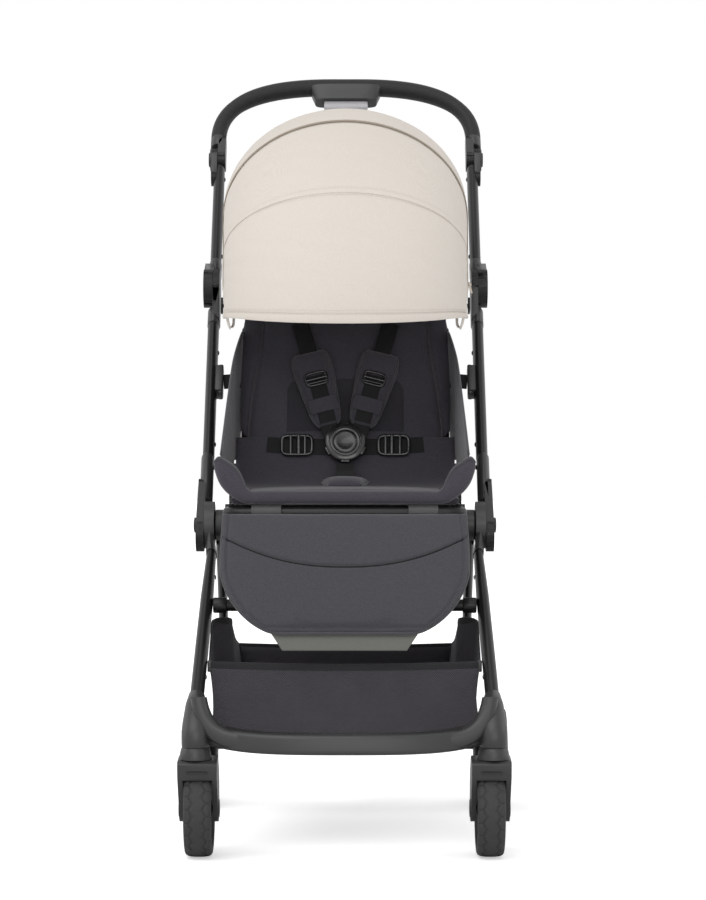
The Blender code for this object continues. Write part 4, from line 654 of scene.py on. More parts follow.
# Brake pedal: a moulded foot lever clipped round the cross tube, with ribs under the sole.
refined("foot_brake", "brake_pedal", moulded_black, "brake_pedal", 0.0012, segments=3)
shape = bmesh.new()
tip = REAR_CROSS + Vector((0, 0.052, 0.012))
for k in range(7):
    spot = tip + Vector((-0.0225 + 0.0075 * k, -0.010, 0.0030))
    rib = block(spot, (0.0018, 0.016, 0.0016), Matrix.Rotation(0.17, 4, "X"))
    bmesh.ops.create_cube(shape, size=1, matrix=rib)
finished("foot_brake_ribs", shape, moulded_black, "brake_pedal", ())


# Basket: a sewn bag of fine dark netting under the seat, bound along its rim with a folded tape
# and hung by two stiff tabs from the front legs. Its floor sags a little.
def netting():
    """Fine diagonal net: threads on the piece's own map, with open holes between them."""
    made, tree, shader = new_material("basket_net", {"Roughness": 0.85, "Specular IOR Level": 0.25})
    place = add_node(tree, "UVMap", uv_map="cut").outputs["UV"]
    parts = add_node(tree, "SeparateXYZ", {0: place})
    waves = []
    for operation in ("ADD", "SUBTRACT"):
        direction = math_node(tree, operation, parts.outputs["X"], parts.outputs["Y"])
        wave = math_node(tree, "SINE", math_node(tree, "MULTIPLY", direction, math.pi / 0.0030))
        waves.append(math_node(tree, "ABSOLUTE", wave))
    hole = math_node(tree, "MULTIPLY", *waves)
    broad = add_node(tree, "TexNoise", {"Vector": place, "Scale": 26.0, "Detail": 3.0})
    shade = math_node(tree, "MULTIPLY_ADD", broad.outputs["Fac"], 0.5, hole)
    shade = math_node(tree, "MULTIPLY", shade, 0.8)
    raised = add_node(tree, "Bump", {"Strength": 0.7, "Distance": 0.0006, "Height": hole}, invert=True)
    feed(tree, shader, {
        "Base Color": two_tones(tree, (0.076, 0.071, 0.081), (0.033, 0.031, 0.036), shade),
        "Normal": raised.outputs["Normal"],
    })
    return made


def cloth_group():
    """Plain weave seen from near, flecked yarn seen from further, and soft creases."""
    group, source, out = group_tree(
        "woven_cloth", {"Threads": 1500.0, "Fleck Size": 420.0, "Crease Size": 14.0},
        ("Weave", "Fleck", "Crease"))
    place = add_node(group, "TexCoord").outputs["Object"]
    parts = add_node(group, "SeparateXYZ", {0: place})
    level = math_node(group, "SUBTRACT", parts.outputs["Z"], parts.outputs["Y"])
    threads = []
    for direction in (parts.outputs["X"], level):
        turns = math_node(group, "MULTIPLY", direction, source.outputs["Threads"])
        threads.append(math_node(group, "SINE", math_node(group, "MULTIPLY", turns, math.pi)))
    weave = math_node(group, "MULTIPLY", *threads)
    fleck = add_node(group, "TexNoise", {
        "Vector": place, "Scale": source.outputs["Fleck Size"], "Detail": 3.0, "Roughness": 0.7})
    crease = add_node(group, "TexNoise", {
        "Vector": place, "Scale": source.outputs["Crease Size"], "Detail": 3.5, "Roughness": 0.45,
        "Distortion": 0.6})
    feed(group, out, {"Weave": math_node(group, "MULTIPLY_ADD", weave, 0.5, 0.5),
                      "Fleck": fleck.outputs["Fac"],
                      "Crease": crease.outputs["Fac"]})
    return group


WOVEN_CLOTH = cloth_group()


def cloth(name, dark, light, roughness=0.9, threads=1500.0, fleck=420.0, crease=14.0, weave_bump=0.25,
          crease_depth=0.0012, sheen=0.15):
    """Woven cloth whose yarn drifts between a dark and a light tone."""
    made, tree, shader = new_material(name, {
        "Roughness": roughness, "Specular IOR Level": 0.22, "Sheen Weight": sheen, "Sheen Roughness": 0.5})
    group = add_node(
        tree, "Group", {"Threads": threads, "Fleck Size": fleck, "Crease Size": crease},
        node_tree=WOVEN_CLOTH)
    weave = group.outputs["Weave"]
    mixed = math_node(tree, "MULTIPLY_ADD", weave, 0.25, group.outputs["Fleck"])
    soft = add_node(tree, "Bump", {"Strength": 0.55, "Distance": crease_depth,
                                   "Height": group.outputs["Crease"]})
    fine = add_node(tree, "Bump", {
        "Strength": weave_bump, "Distance": 0.0003, "Height": weave, "Normal": soft.outputs["Normal"]})
    feed(tree, shader, {
        "Base Color": two_tones(tree, dark, light, math_node(tree, "SUBTRACT", mixed, 0.12)),
        "Normal": fine.outputs["Normal"],
    })
    return made


net = netting()
binding = cloth("binding_tape", (0.016, 0.016, 0.018), (0.032, 0.031, 0.034), threads=900, fleck=700)
seat_thread = painted("seat_thread", (0.050, 0.048, 0.054), 0.85, grain=2500, bump=0.05, specular=0.2)


def smooth_path(points, count):
    """Evenly spaced points on a smooth open curve through the given ones."""
    fine = []
    padded = [points[0] * 2 - points[1]] + list(points) + [points[-1] * 2 - points[-2]]
    for a, b, c, d in zip(padded, padded[1:], padded[2:], padded[3:]):
        for k in range(16):
            t = k / 16
            fine.append(0.5 * ((2 * b) + (c - a) * t + (2 * a - 5 * b + 4 * c - d) * t ** 2
                               + (3 * b - a - 3 * c + d) * t ** 3))
    fine.append(points[-1])
    lengths = [0.0]
    for a, b in zip(fine, fine[1:]):
        lengths.append(lengths[-1] + (b - a).length)
    made = []
    k = 0
    for step in range(count):
        want = lengths[-1] * step / (count - 1)
        while k < len(fine) - 2 and lengths[k + 1] < want:
            k += 1
        span = max(lengths[k + 1] - lengths[k], 1e-9)
        made.append(fine[k].lerp(fine[k + 1], (want - lengths[k]) / span))
    return made


def directions(points, closed=False):
    """The direction of a path at each of its points."""
    last = len(points) - 1
    found = []
    for k in range(last + 1):
        before = points[k - 1] if k or closed else points[0]
        after = points[(k + 1) % len(points)] if k < last or closed else points[last]
        found.append((after - before).normalized())
    return found


def tape(shape, points, facing, half_width, half_thick, count=10, power=4.0, closed=False):
    """A flat band along a path, its broad side turned to the given directions."""
    rings = []
    for k, along in enumerate(directions(points, closed)):
        face = facing[k] if isinstance(facing, list) else facing
        face = (face - along * face.dot(along)).normalized()
        turn = Matrix((along.cross(face), face, along)).transposed()
        rings.append(oval_ring(shape, points[k], turn, half_width, half_thick, count, power))
    skin(shape, rings, closed=closed)


def stitches(shape, points, normals, pitch=0.0036, length=0.0024, radius=0.00032):
    """A row of small raised threads along a path."""
    total = 0.0
    for k in range(len(points) - 1):
        step = points[k + 1] - points[k]
        while total < step.length:
            along = step.normalized()
            face = normals[k] if isinstance(normals, list) else normals
            face = (face - along * face.dot(along)).normalized()
            turn = Matrix((along, along.cross(face), face)).transposed()
            spot = points[k] + along * total
            thread = block(spot, (length / 2, radius, radius), turn)
            bmesh.ops.create_icosphere(shape, subdivisions=1, radius=1.0, matrix=thread)
            total += pitch
        total -= step.length


def thickened(sheet, thickness):
    """Gives a sheet its thickness, half of it to each side."""
    wall = sheet.modifiers.new("cloth", "SOLIDIFY")
    wall.thickness = thickness
    wall.offset = 0
    return sheet


def soft_box(shape, place, soft):
    """A box with rounded edges."""
    made = bmesh.ops.create_cube(shape, size=1, matrix=place)
    bmesh.ops.bevel(
        shape, geom=list({e for v in made["verts"] for e in v.link_edges}), offset=soft, offset_type="OFFSET",
        affect="EDGES", segments=3, profile=0.5, material=-1,
    )


def ring_of(shape, points):
    """A closed loop of edges through points."""
    verts = [shape.verts.new(point) for point in points]
    return [shape.edges.new((verts[k - 1], verts[k])) for k in range(len(verts))]


# Distance back, floor height, rim height, and half width at the floor and at the rim
BASKET_OUTLINE = (
    (0.054, 0.1555, 0.2495, 0.1755, 0.1795), (0.070, 0.1510, 0.2560, 0.1760, 0.1795),
    (0.110, 0.1475, 0.2840, 0.1745, 0.1795), (0.140, 0.1460, 0.2995, 0.1730, 0.1785),
    (0.166, 0.1450, 0.3000, 0.1545, 0.1570), (0.220, 0.1440, 0.2880, 0.1535, 0.1570),
    (0.290, 0.1440, 0.2700, 0.1535, 0.1570), (0.350, 0.1450, 0.2580, 0.1535, 0.1570),
    (0.412, 0.1480, 0.2470, 0.1500, 0.1560),
)


def basket_loop(share, columns=34):
    """Points round the basket at a share of its height: front, right side, back, left side."""
    right = []
    for y, low, high, wide_low, wide_high in BASKET_OUTLINE:
        belly = 0.0035 * math.sin(math.pi * share)
        reach = y + (0.018 * share if y > 0.4 else (-0.004 * share if y < 0.06 else 0.0))
        right.append(at(reach, low + (high - low) * share, wide_low + (wide_high - wide_low) * share - belly))
    right = smooth_path(right, 41)
    front, back = [], []
    for k in range(1, columns):
        t = k / columns
        x = right[0].x * (2 * t - 1)
        dip = math.sin(math.pi * t)
        front.append(Vector((x, right[0].y - 0.002 * dip,
                             right[0].z - (0.0035 if share > 0.99 else 0.002) * dip)))
        x = -right[-1].x * (2 * t - 1)
        back.append(Vector((x, right[-1].y + 0.002 * dip, right[-1].z - 0.003 * dip)))
    left = [mirror_x(p) for p in reversed(right)]
    return front + right + back + left


shape = bmesh.new()
cut = shape.loops.layers.uv.new("cut")
LEVELS = 9
bands = [ring_of(shape, basket_loop(level / (LEVELS - 1))) for level in range(LEVELS)]
skin(shape, bands, caps=False)
lowest = basket_loop(0.0)
middle = at(0.233, 0.1415)
floor_bands = [bands[0]]
for share in (0.90, 0.74, 0.54, 0.32, 0.12):
    sag = Vector((0, 0, 0.004 * (1 - share)))
    floor_bands.append(ring_of(shape, [middle + (p - middle) * share - sag for p in lowest]))
skin(shape, floor_bands, caps=False)
bmesh.ops.edgeloop_fill(shape, edges=floor_bands[-1])
bmesh.ops.recalc_face_normals(shape, faces=shape.faces)
for face in shape.faces:
    for loop in face.loops:
        spot = loop.vert.co
        if abs(face.normal.z) > 0.7:
            loop[cut].uv = (spot.x, spot.y)
        elif abs(face.normal.x) > abs(face.normal.y):
            loop[cut].uv = (spot.y, spot.z)
        else:
            loop[cut].uv = (spot.x, spot.z)
basket_bag = thickened(finished("basket_bag", shape, net, "", ("basket",), sharp=60), 0.0012)
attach(basket_bag, "front_frame")
rim_line = basket_loop(1.0)
shape = bmesh.new()
tape(shape, [p - Vector((0, 0, 0.0034)) for p in rim_line],
     [Vector((p.x * 4, p.y + 0.09, 0)).normalized() for p in rim_line], 0.0048, 0.0013, 12, 4.0, closed=True)
basket_rim = finished("basket_rim_tape", shape, binding, "front_frame", ())
shape = bmesh.new()
for drop in (0.0014, 0.0066):
    front_row = [p + Vector((0, -0.0016, -drop)) for p in rim_line[:33]]
    stitches(shape, front_row, Vector((0, -1, 0)))
finished("basket_stitching", shape, seat_thread, "front_frame", (), sharp=180)
shape = bmesh.new()
for name, side in SIDES:
    soft_box(shape, block(at(0.0545, 0.2440, side * 0.1790), (0.0050, 0.014, 0.015)), 0.0014)
finished("basket_hang_tabs", shape, moulded_black, "front_frame", ())


# Seat frame: a coated tube loop under the cushion, with riveted plates for the main pivots and
# the backrest hinges.
refined("seat_frame_tube", "seat_frame", coated_tube, "front_frame", 0.0)


# Push knuckles: moulded half laps at the main pivot, each with an oval sleeve that grips the
# lower end of a push tube and a rivet through it.
ELBOW_PIVOT = at(0.460, 0.7676)
PUSH_ALONG = (ELBOW_PIVOT - MAIN_PIVOT).normalized()
PUSH_BEHIND = Vector((0, PUSH_ALONG.z, -PUSH_ALONG.y))
PUSH_X = 0.193
SETBACK = 0.0165


def on_push(distance, x, pivot=MAIN_PIVOT):
    """A point on a push tube's centre line, measured along it from beside a pivot."""
    spot = pivot + PUSH_BEHIND * SETBACK + PUSH_ALONG * distance
    return Vector((x, spot.y, spot.z))


def lap(shape, first, second, first_radius, second_radius, x_low, x_high, side, soft=0.0012):
    """A flat plate round two circles and the tangents between them, its rim rounded."""
    verts = []
    middle = side * (x_low + x_high) / 2
    for centre, radius in ((first, first_radius), (second, second_radius)):
        place = Matrix.Translation(Vector((middle, centre.y, centre.z)))
        place = place @ Matrix.Rotation(math.pi / 2, 4, "Y")
        verts += bmesh.ops.create_cone(
            shape, cap_ends=True, segments=56, radius1=radius, radius2=radius, depth=x_high - x_low,
            matrix=place,
        )["verts"]
    hull = bmesh.ops.convex_hull(shape, input=verts, use_existing_faces=False)
    inside = [g for g in hull["geom_interior"] if isinstance(g, bmesh.types.BMVert) and g.is_valid]
    bmesh.ops.delete(shape, geom=inside, context="VERTS")
    kept = [v for v in verts if v.is_valid]
    faces = list({f for v in kept for f in v.link_faces})
    flat_sides = [f for f in faces if abs(f.normal.x) > 0.99]
    for sign in (-1, 1):
        group = [f for f in flat_sides if f.is_valid and f.normal.x * sign > 0.99]
        edges = list({e for f in group for e in f.edges if all(g in group for g in e.link_faces)})
        bmesh.ops.dissolve_edges(shape, edges=edges, use_verts=False)
    kept = [v for v in kept if v.is_valid]
    hard = [e for e in {e for v in kept for e in v.link_edges}
            if len(e.link_faces) == 2 and e.calc_face_angle(0) > math.radians(50)]
    bmesh.ops.bevel(
        shape, geom=hard, offset=soft, offset_type="OFFSET", affect="EDGES", segments=4, profile=0.5,
        material=-1,
    )


for name, side in SIDES:
    shape = bmesh.new()
    lap(shape, MAIN_PIVOT - PUSH_ALONG * 0.016, on_push(0.070, 0), 0.0235, 0.0165, 0.1937, 0.2047, side,
        0.0022)
    bar(shape, on_push(0.045, side * 0.194), on_push(0.125, side * 0.194), 0.018, 0.033, 48, soft_ends=0.0012)
    finished(name + "_knuckle_moulding", shape, moulded_black, "lower_push", (name + "_push_knuckle",))


# Lower push tubes: oval coated tubes from knuckle to elbow. The elbow's inner half is moulded on,
# and a clip on the inner side takes the end of the recline strap.
STRAP_CLIP = 0.262
for name, side in SIDES:
    shape = bmesh.new()
    bar(shape, on_push(0.1253, side * PUSH_X), on_push(0.3690, side * PUSH_X), 0.0165, 0.029, 48)
    finished(name + "_lower_tube", shape, coated_tube, "lower_push", (name + "_lower_push_tube",))
    shape = bmesh.new()
    length = (ELBOW_PIVOT - MAIN_PIVOT).length
    bar(shape, on_push(length - 0.060, side * PUSH_X), on_push(length - 0.033, side * PUSH_X), 0.018, 0.032,
        48, soft_ends=0.0012)
    lap(shape, ELBOW_PIVOT, on_push(length - 0.042, 0), 0.0285, 0.0152, 0.1840, 0.1943, side, 0.0010)
    finished(name + "_elbow_inner", shape, moulded_black, "lower_push", ())
    shape = bmesh.new()
    tilt = Matrix.Rotation(-math.atan2(PUSH_ALONG.y, PUSH_ALONG.z), 4, "X")
    for shift, x, size in ((0.0, 0.1818, (0.0120, 0.024, 0.046)), (0.020, 0.1793, (0.0070, 0.018, 0.012)),
                           (-0.020, 0.1793, (0.0070, 0.018, 0.012))):
        soft_box(shape, block(on_push(STRAP_CLIP + shift, side * x), size, tilt), 0.0022)
    finished(name + "_strap_clip", shape, moulded_black, "lower_push", ())
    shape = bmesh.new()
    for distance in (0.110, 0.150, 0.315):
        rivet(shape, on_push(distance, side * (PUSH_X - 0.0080)), (-side, 0, 0), 0.0036, 0.0020)
    finished(name + "_lower_rivets", shape, rivet_steel, "lower_push", ())


# Upper push tubes: the same oval section, from the elbow's outer shell up to the handle hub. The
# elbow is a round moulded cover with a shallow ring round its cap.
HANDLE_PIVOT = at(0.6318, 0.9745)
REACH = (HANDLE_PIVOT - on_push(0, 0, ELBOW_PIVOT)).length
for name, side in SIDES:
    shape = bmesh.new()
    bar(shape, on_push(0.054, side * PUSH_X, ELBOW_PIVOT), on_push(REACH - 0.022, side * PUSH_X, ELBOW_PIVOT),
        0.0165, 0.029, 48)
    finished(name + "_upper_tube", shape, coated_tube, "upper_push", (name + "_upper_push_tube",))
    shape = bmesh.new()
    bar(shape, on_push(0.033, side * PUSH_X, ELBOW_PIVOT), on_push(0.060, side * PUSH_X, ELBOW_PIVOT), 0.018,
        0.032, 48, soft_ends=0.0012)
    lap(shape, ELBOW_PIVOT, on_push(0.042, 0, ELBOW_PIVOT), 0.0285, 0.0152, 0.1946, 0.2080, side, 0.0042)
    drum(shape, ELBOW_PIVOT, 0.0165, 0.2066, 0.2086, side, rim=0.0012)
    lap(shape, HANDLE_PIVOT, on_push(REACH - 0.034, 0, ELBOW_PIVOT), 0.018, 0.0145, 0.1961, 0.2052, side,
        0.0014)
    drum(shape, HANDLE_PIVOT, 0.0176, 0.2045, 0.2076, side, rim=0.0012)
    finished(name + "_upper_mouldings", shape, moulded_black, "upper_push", ())
    shape = bmesh.new()
    for distance in (0.075, REACH - 0.040):
        rivet(shape, on_push(distance, side * (PUSH_X - 0.0080), ELBOW_PIVOT), (-side, 0, 0), 0.0036, 0.0020)
    finished(name + "_upper_rivets", shape, rivet_steel, "upper_push", ())


# Tilt buttons: round moulded buttons in the outer faces of the handle hubs. Pressed together,
# they free the handlebar to tilt.
for name, side in SIDES:
    shape = bmesh.new()
    drum(shape, HANDLE_PIVOT, 0.0109, 0.2040, 0.2098, side, rim=0.0010, dish=-0.0006)
    finished(name + "_button_cap", shape, coated_tube, name + "_tilt_button", (name + "_tilt_button",))


# Handlebar: one bent tube in a black leatherette sleeve, sewn along its underside, with a moulded
# socket on each end that takes the hub.
HANDLE_TOP = at(0.710, 1.0955)
HANDLE_X = 0.1958
BEND_DOWN = 0.104
BEND_ACROSS = 0.172


def leatherette():
    """Black leatherette with a pebbled face."""
    made, tree, shader = new_material("black_leatherette", {"Specular IOR Level": 0.28})
    place = add_node(tree, "TexCoord").outputs["Object"]
    cells = add_node(tree, "TexVoronoi", {"Vector": place, "Scale": 900.0}, feature="DISTANCE_TO_EDGE")
    warp = add_node(tree, "TexNoise", {"Vector": place, "Scale": 240.0, "Detail": 4.0})
    pebble = math_node(tree, "MINIMUM", math_node(tree, "MULTIPLY", cells.outputs["Distance"], 6.0), 0.7)
    height = math_node(tree, "MULTIPLY_ADD", warp.outputs["Fac"], 0.6, pebble)
    raised = add_node(tree, "Bump", {"Strength": 0.35, "Distance": 0.0004, "Height": height})
    feed(tree, shader, {
        "Base Color": two_tones(tree, (0.004, 0.004, 0.0042), (0.011, 0.011, 0.0115), height),
        "Roughness": math_node(tree, "MULTIPLY_ADD", warp.outputs["Fac"], 0.18, 0.40),
        "Normal": raised.outputs["Normal"],
    })
    return made


def grip_radius(x):
    """The sleeve is thickest in the middle and thins towards the sockets."""
    return 0.0118 * (1 + 0.144 * max(0.0, 1 - (abs(x) / 0.17) ** 6))


leather = leatherette()
handle_up = (HANDLE_TOP - HANDLE_PIVOT).normalized()
behind = Vector((0, handle_up.z, -handle_up.y))
half_grip = [HANDLE_PIVOT + handle_up * 0.034 + Vector((HANDLE_X, 0, 0))]
for k in range(33):
    t = k / 32
    out_from_middle = Vector((HANDLE_X - BEND_ACROSS * t ** 2, 0, 0))
    half_grip.append(out_from_middle + HANDLE_TOP - handle_up * BEND_DOWN * (1 - t) ** 2)
grip_points = [mirror_x(p) for p in half_grip] + [HANDLE_TOP] + half_grip[::-1]
shape = bmesh.new()
rings = []
for point, along in zip(grip_points, directions(grip_points)):
    side_way = along.cross(behind).normalized()
    turn = Matrix((side_way, along.cross(side_way), along)).transposed()
    rings.append(oval_ring(shape, point, turn, grip_radius(point.x), grip_radius(point.x), 40))
skin(shape, rings)
finished("handlebar_sleeve", shape, leather, "handlebar", ("handlebar_grip",))
shape = bmesh.new()
seam = [point + behind * (grip_radius(point.x) + 0.0001) for point in grip_points[4:-4]]
for shift in (0.0013, -0.0013):
    stitches(shape, [p + handle_up * shift for p in seam], behind, 0.0042, 0.0030, 0.00040)
finished("handlebar_seam", shape, seat_thread, "handlebar", (), sharp=180)
for name, side in SIDES:
    shape = bmesh.new()
    low = HANDLE_PIVOT + Vector((side * HANDLE_X, 0, 0))
    bar(shape, low + handle_up * 0.0205, low + handle_up * 0.040, 0.0238, 0.0290, 48, soft_ends=0.0020)
    lap(shape, HANDLE_PIVOT, HANDLE_PIVOT + handle_up * 0.030, 0.018, 0.0140, 0.1840, 0.1958, side, 0.0014)
    finished(name + "_handle_socket", shape, moulded_black, "handlebar", ())


# Fold release: a moulded clamp under the middle of the grip, with a pale grey trigger that slides
# up into it to free the fold lock.
trigger_grey = painted("trigger_grey", (0.44, 0.43, 0.45), 0.45, grain=900, bump=0.08)
refined("release_clamp", "release_housing", moulded_black, "handlebar", 0.0012, segments=3,
        angle=45)
refined("release_trigger", "fold_trigger", trigger_grey, "fold_trigger", 0.0006)
shape = bmesh.new()
turn = Matrix.Rotation(-math.atan2(handle_up.y, handle_up.z), 4, "X")
for k in range(5):
    spot = HANDLE_TOP - handle_up * 0.0385 + Vector((-0.020 + 0.010 * k, 0, 0)) - behind * 0.0041
    bmesh.ops.create_cube(shape, size=1, matrix=block(spot, (0.0060, 0.0008, 0.0030), turn))
finished("release_trigger_grips", shape, trigger_grey, "fold_trigger", ())


# Seat cushion: a stuffed pad of charcoal cloth on the tube loop, sewn through in two channels and
# held down at its rim. A flat inlay is sewn onto its middle.
def local_frame(origin, along, front):
    """A turn whose X runs across, whose Y runs along a pad and whose Z points out of its front."""
    along, front = along.normalized(), front.normalized()
    turn = Matrix((along.cross(front), along, front)).transposed().to_4x4()
    return Matrix.Translation(origin) @ turn


RIM_TURNS = (-0.9, -0.3, 0.3, 0.9)


def pad_shape(length, half_width, rim, height, columns=30, rows=34, soft=0.004):
    """A closed pad in its own frame: flat back, front at the given height, rounded rim."""
    shape = bmesh.new()
    radius = rim / 2
    ends = [0.0, 0.12, 0.35, 0.7, 1.0]
    places = [soft * e / length for e in ends]
    places += [soft / length + (1 - 2 * soft / length) * k / rows for k in range(1, rows)]
    places += [1 - soft * e / length for e in reversed(ends)]
    rings = []
    for v in places:
        from_end = min(v, 1 - v) * length
        squeeze = math.sqrt(max(0.012, 1 - (1 - min(1.0, from_end / soft)) ** 2))
        reach = half_width(v) - radius
        line = [(reach * (2 * k / columns - 1), 0.0) for k in range(columns + 1)]
        rounding = [(reach + radius * math.cos(a), radius + radius * math.sin(a)) for a in RIM_TURNS]
        line += rounding
        line += [(-x, height(-x / half_width(v), v)) for x, _ in line[:columns + 1]]
        line += [(-x, z) for x, z in reversed(rounding)]
        rings.append(ring_of(shape, [(x, v * length, radius + (z - radius) * squeeze) for x, z in line]))
    skin(shape, rings)
    return shape


def crowned(rim, crown, squareness=2.6):
    """The height of a stuffed pad's front, rounded off towards its four sides."""
    def height(u, v):
        dome = (1 - min(1.0, abs(u)) ** squareness) * (1 - abs(2 * v - 1) ** squareness)
        return rim + crown * math.sqrt(max(dome, 0))
    return height


COVER_PRESSURE = 4.0
COVER_SLACK = 0.03
SETTLING_FRAMES = 20
SIDEWAYS_KEPT = 0.15
BACK_KEPT = 0.1


def puffed(mesh, voxel, cap):
    """Lets a pad's cover swell over its filling and keeps the moved points, its back held flat."""
    pad = bpy.data.objects.new("settling", mesh)
    scene.collection.objects.link(pad)
    even = pad.modifiers.new("even", "REMESH")
    even.mode = "VOXEL"
    even.voxel_size = voxel
    made = bpy.data.meshes.new_from_object(pad.evaluated_get(bpy.context.evaluated_depsgraph_get()))
    pad.modifiers.clear()
    pad.data = made
    rest = [vert.co.copy() for vert in made.vertices]
    facing = [vert.normal.z for vert in made.vertices]
    cover = pad.modifiers.new("cover", "CLOTH")
    cover.settings.quality = 4
    cover.settings.mass = 0.2
    cover.settings.tension_stiffness = 25
    cover.settings.compression_stiffness = 25
    cover.settings.bending_stiffness = 0.6
    cover.settings.use_pressure = True
    cover.settings.uniform_pressure_force = COVER_PRESSURE
    cover.settings.shrink_min = -COVER_SLACK
    cover.settings.effector_weights.gravity = 0
    for step in range(1, SETTLING_FRAMES + 1):
        scene.frame_set(step)
    moved = pad.evaluated_get(bpy.context.evaluated_depsgraph_get()).to_mesh()
    shifts = [vert.co - start for vert, start in zip(moved.vertices, rest)]
    pad.modifiers.clear()
    drift = sum(shifts, Vector()) / len(shifts)
    for vert, start, shift, out in zip(made.vertices, rest, shifts, facing):
        shift = shift - drift
        if shift.length > cap:
            shift = shift.normalized() * cap
        outward = BACK_KEPT if out < -0.5 else 1.0
        vert.co = start + Vector((shift.x * SIDEWAYS_KEPT, shift.y * SIDEWAYS_KEPT, shift.z * outward))
    scene.frame_set(1)
    bpy.data.objects.remove(pad)
    return made


def cushion(name, shape, place, paint, body, nodes, voxel=0.005, cap=0.006, sewn=None):
    """Makes a stuffed piece: the swollen cover, its sewn lines, and its place in the whole."""
    bmesh.ops.recalc_face_normals(shape, faces=shape.faces)
    mesh = bpy.data.meshes.new(name)
    shape.to_mesh(mesh)
    shape.free()
    mesh = puffed(mesh, voxel, cap)
    dense = bmesh.new()
    dense.from_mesh(mesh)
    bmesh.ops.subdivide_edges(dense, edges=dense.edges, cuts=1, use_grid_fill=True, smooth=0.0)
    bmesh.ops.smooth_vert(dense, verts=dense.verts, factor=0.5, use_axis_x=True, use_axis_y=True,
                          use_axis_z=True)
    if sewn:
        dense.normal_update()
        for vert in dense.verts:
            if vert.normal.z > 0.1:
                vert.co.z -= sewn(vert.co.x, vert.co.y)
    bmesh.ops.transform(dense, matrix=place, verts=dense.verts)
    piece = finished(name, dense, paint, body, nodes, sharp=180)
    return piece


def groove(distance, depth, width):
    """How deep a sewn line pulls the cloth at a distance from it."""
    return depth * math.exp(-(distance / width) ** 2)


seat_cloth = cloth("seat_cloth", (0.028, 0.026, 0.033), (0.072, 0.067, 0.082), fleck=520, crease=16,
                   crease_depth=0.0016, sheen=0.25)
inlay_cloth = cloth("inlay_cloth", (0.017, 0.016, 0.020), (0.042, 0.039, 0.047), threads=1100, fleck=640,
                    crease=18, sheen=0.2)
seat_place = local_frame(at(0.1163, 0.4563), Vector((0, 1, 0)), Vector((0, 0, 1)))
SEAT_LENGTH = 0.186
SEAT_RIM = 0.009
INLAY_START = 0.006
seat_height = crowned(SEAT_RIM, 0.0085)


def seat_half(v):
    return 0.1565 - 0.0015 * math.sin(math.pi * v)


def seat_sewn(x, y):
    """Two sewn lines across and one along each side."""
    lines = groove(y - 0.067, 0.0052, 0.0045) + groove(y - 0.128, 0.0052, 0.0045)
    return lines + groove(abs(x) - 0.134, 0.0022, 0.004)


cushion("seat_pad", pad_shape(SEAT_LENGTH, seat_half, SEAT_RIM, seat_height),
        seat_place, seat_cloth, "front_frame", ("seat_cushion",), sewn=seat_sewn)
shape = pad_shape(0.172, lambda v: 0.0835, 0.0016, lambda u, v: 0.0016, columns=20, rows=24, soft=0.0012)
for vert in shape.verts:
    y = vert.co.y + INLAY_START
    vert.co.z += seat_height(vert.co.x / 0.158, y / SEAT_LENGTH) - seat_sewn(vert.co.x, y) + 0.0008
bmesh.ops.transform(shape, matrix=seat_place @ Matrix.Translation((0, INLAY_START, 0)), verts=shape.verts)
finished("seat_inlay", shape, inlay_cloth, "front_frame", (), sharp=60)


# Front lip: a firm padded roll across the seat's front, whose ends rise as rounded wings against
# the side panels, piped along the edge.
def cordage(shape, points, radius, count=10, closed=False):
    """A thin round cord along points."""
    rings = []
    across = None
    for point, along in zip(points, directions(points, closed)):
        across = along.orthogonal() if across is None else across - along * along.dot(across)
        across = across.normalized()
        turn = Matrix((across, along.cross(across), along)).transposed()
        rings.append(oval_ring(shape, point, turn, radius, radius, count))
    skin(shape, rings, closed=closed)


piping = cloth("piping", (0.040, 0.038, 0.044), (0.075, 0.072, 0.080), threads=2200, fleck=900, sheen=0.3)
LIP_HALF = 0.1756
LIP_Y = 0.1067
LIP_LINE = (
    (0.0, 0.4760, 0.4575), (0.36, 0.4758, 0.4575), (0.62, 0.4758, 0.4575), (0.70, 0.4752, 0.4575),
    (0.748, 0.4800, 0.4580), (0.775, 0.4905, 0.4590), (0.80, 0.5000, 0.4606), (0.835, 0.5080, 0.4640),
    (0.87, 0.5130, 0.4682), (0.91, 0.5174, 0.4738), (0.945, 0.5210, 0.4812), (0.97, 0.5212, 0.4890),
    (0.99, 0.5180, 0.4990), (1.0, 0.5125, 0.5060),
)
half_line = smooth_path([Vector((share * LIP_HALF, high, low)) for share, high, low in LIP_LINE], 90)
lip_line = [mirror_x(p) for p in reversed(half_line[1:])] + half_line
shape = bmesh.new()
rings, edge_line = [], []
turn = Matrix(((0, 1, 0), (0, 0, 1), (1, 0, 0))).transposed()
for spot in lip_line:
    share = abs(spot.x) / LIP_HALF
    thick = 0.0093 * math.sqrt(max(0.10, 1 - max(0.0, (share - 0.93) / 0.075) ** 2))
    wrinkle = 0.0003 * math.sin(spot.x * 210) * math.sin(spot.x * 47)
    centre = at(LIP_Y, (spot.y + spot.z) / 2, spot.x)
    rings.append(oval_ring(shape, centre, turn, thick + wrinkle, (spot.y - spot.z) / 2, 28, 2.5))
    edge_line.append(at(LIP_Y - thick * 0.72, spot.y - 0.0030, spot.x))
skin(shape, rings)
finished("front_lip_roll", shape, seat_cloth, "front_frame", ("front_lip",), sharp=180)
shape = bmesh.new()
cordage(shape, edge_line[2:-2], 0.0017)
finished("front_lip_piping", shape, piping, "front_frame", (), sharp=180)


